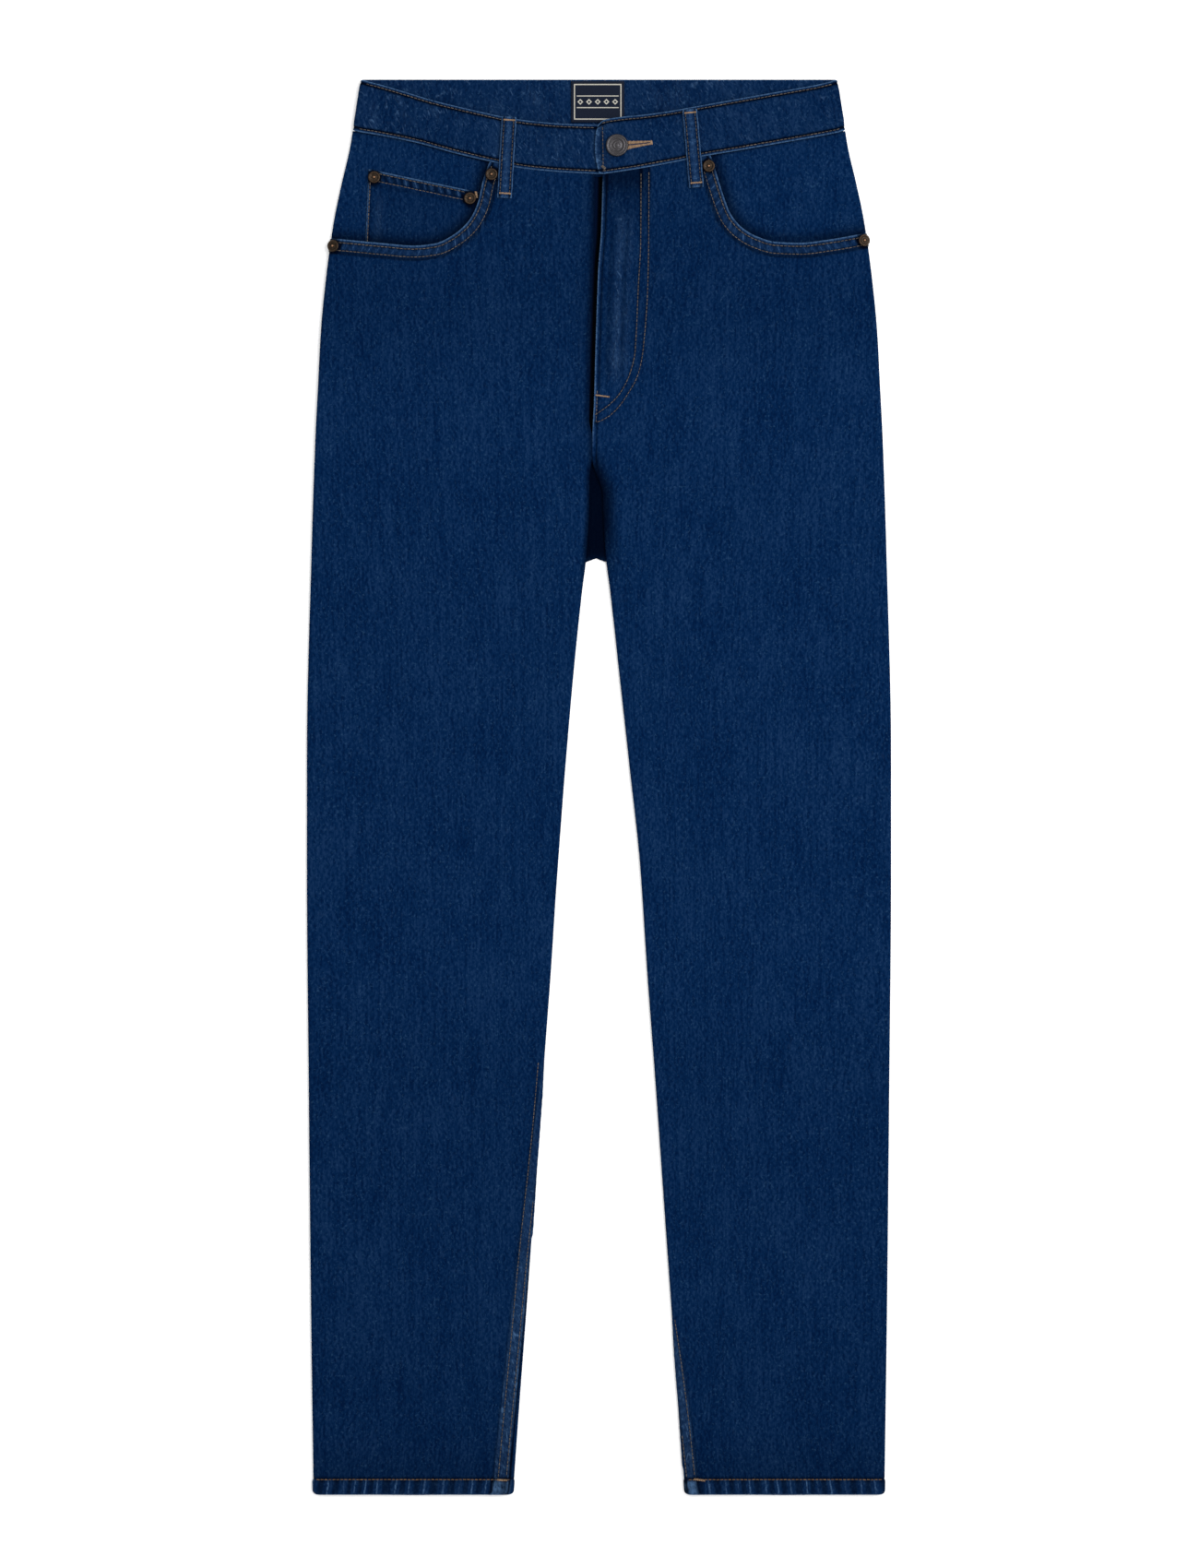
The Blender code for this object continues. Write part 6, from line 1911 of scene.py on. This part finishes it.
def labelMaterial():
    # navy satin ground, a thin border and one row of small cream lozenges between two fine lines
    made, tree, shader = startMaterial("labelWeave", {"Roughness": 0.7, "Specular IOR Level": 0.1})
    place = clothPlace(tree)
    rib = useGroup(tree, "rib", Place=place, Rib=0.55)
    x, y, _ = axes(tree, place)
    farX, farY = absolute(tree, x), absolute(tree, y)
    awayX = calc(tree, "SUBTRACT", (patch["right"] - patch["left"]) / 2, farX)
    awayY = calc(tree, "SUBTRACT", (patch["foot"] - patch["top"]) / 2, farY)
    near = calc(tree, "MINIMUM", awayX, awayY)
    border = times(tree, ramp(tree, near, 1.9, 2.1), ramp(tree, near, 2.9, 2.7))
    step = patch["step"]
    turn = calc(tree, "FRACT", calc(tree, "ADD", calc(tree, "DIVIDE", x, step), 100.5))
    lozenge = calc(tree, "ADD", times(tree, absolute(tree, centred(tree, turn)), step), farY)
    motif = times(tree, ramp(tree, lozenge, 2.3, 2.1), ramp(tree, lozenge, 1.0, 1.2))
    motif = times(tree, motif, ramp(tree, farX, 16.0, 15.8))
    lines = ramp(tree, absolute(tree, calc(tree, "SUBTRACT", farY, patch["lines"])), 0.45, 0.25)
    inside = times(tree, calc(tree, "MAXIMUM", motif, lines), ramp(tree, near, 4.0, 4.2))
    ink = calc(tree, "MAXIMUM", inside, border)
    ground = tones(tree, rib["Tone"], [(0.25, (0.0008, 0.0022, 0.0075)), (0.75, (0.0022, 0.0056, 0.0160))])
    cream = tones(tree, rib["Tone"], [(0.25, (0.22, 0.21, 0.18)), (0.75, (0.40, 0.39, 0.34))])
    feed(tree, shader, blend(tree, ink, ground, cream), timesAdd(tree, ink, 0.8, rib["Height"]), 0.0001, 0.6)
    return made


materials = {name: denimMaterial(name) for name in denims}
for name, dark, light in (
    ("topstitchThread", (0.036, 0.031, 0.028), (0.100, 0.084, 0.069)),
    ("hemThread", (0.060, 0.036, 0.017), (0.165, 0.098, 0.046)),
    ("tackThread", (0.120, 0.074, 0.043), (0.245, 0.162, 0.100)),
):
    materials[name] = threadMaterial(name, dark, light)
for name, dark, light, rough, grime in (
    ("agedCopper", (0.007, 0.005, 0.004), (0.034, 0.025, 0.018), (0.34, 0.6), 0.5),
    ("agedNickel", (0.016, 0.015, 0.017), (0.046, 0.044, 0.047), (0.32, 0.5), 0.35),
    ("agedBrass", (0.07, 0.05, 0.02), (0.28, 0.21, 0.09), (0.3, 0.55), 0.5),
):
    materials[name] = metalMaterial(name, dark, light, rough, grime)
materials["zipTapeWeave"] = tapeMaterial()
materials["labelWeave"] = labelMaterial()

# The first row that a piece's name begins or ends with gives its material
finishes = (
    ("buttonholeThread", "tackThread"), ("jeansButton", "agedNickel"), ("rivet", "agedCopper"),
    ("zipTapeCloth", "zipTapeWeave"), ("zipTeeth", "agedBrass"), ("labelPatch", "labelWeave"),
    ("Tacks", "tackThread"), ("hem", "hemThread"), ("Stitches", "topstitchThread"), ("loop", "loopDenim"),
    ("waistband", "bandDenim"), ("facing", "innerDenim"), ("coin", "innerDenim"), ("Cloth", "legDenim"),
)
for name, piece in pieces.items():
    finish = next(made for part, made in finishes if name.startswith(part) or name.endswith(part))
    piece.data.materials.append(materials[finish])
print("jeans: materials set")


# Floor, light and camera
studio = {
    "floor": 2.6, "floorDrop": -0.0002, "sky": 1.25, "key": 56.0, "keyPlace": (1.25, 0.6, 2.0),
    "keySize": 1.6,
    "cameraHeight": 4.0, "cameraShift": (0.00035, 0.0023), "frameHeight": 1.19,
}


def buildStudio():
    mesh = bpy.data.meshes.new("studioFloor")
    half = studio["floor"]
    mesh.from_pydata(
        [(-half, -half, 0), (half, -half, 0), (half, half, 0), (-half, half, 0)], [], [(0, 1, 2, 3)],
    )
    floor = linkPiece("studioFloor", mesh)
    floor.location.z = studio["floorDrop"]
    paper = startMaterial("floorPaper", {"Base Color": (0.9, 0.9, 0.9, 1.0), "Roughness": 0.8})
    mesh.materials.append(paper[0])
    world = bpy.data.worlds.new("softSky")
    world.use_nodes = True
    sky = world.node_tree.nodes["Background"]
    sky.inputs["Color"].default_value = (1.0, 1.0, 1.0, 1.0)
    sky.inputs["Strength"].default_value = studio["sky"]
    bpy.context.scene.world = world
    light = bpy.data.lights.new("keyPanel", "AREA")
    light.energy, light.size = studio["key"], studio["keySize"]
    lamp = linkPiece("keyPanel", light)
    lamp.location = studio["keyPlace"]
    lamp.rotation_euler = Vector(studio["keyPlace"]).to_track_quat("Z", "Y").to_euler()
    camera = bpy.data.cameras.new("photoCamera")
    camera.sensor_fit = "VERTICAL"
    camera.sensor_height = 24.0
    camera.lens = camera.sensor_height * studio["cameraHeight"] / studio["frameHeight"]
    eye = linkPiece("photoCamera", camera)
    eye.location = studio["cameraShift"] + (studio["cameraHeight"],)
    bpy.context.scene.camera = eye
    bpy.context.scene.view_settings.view_transform = "Standard"


buildStudio()
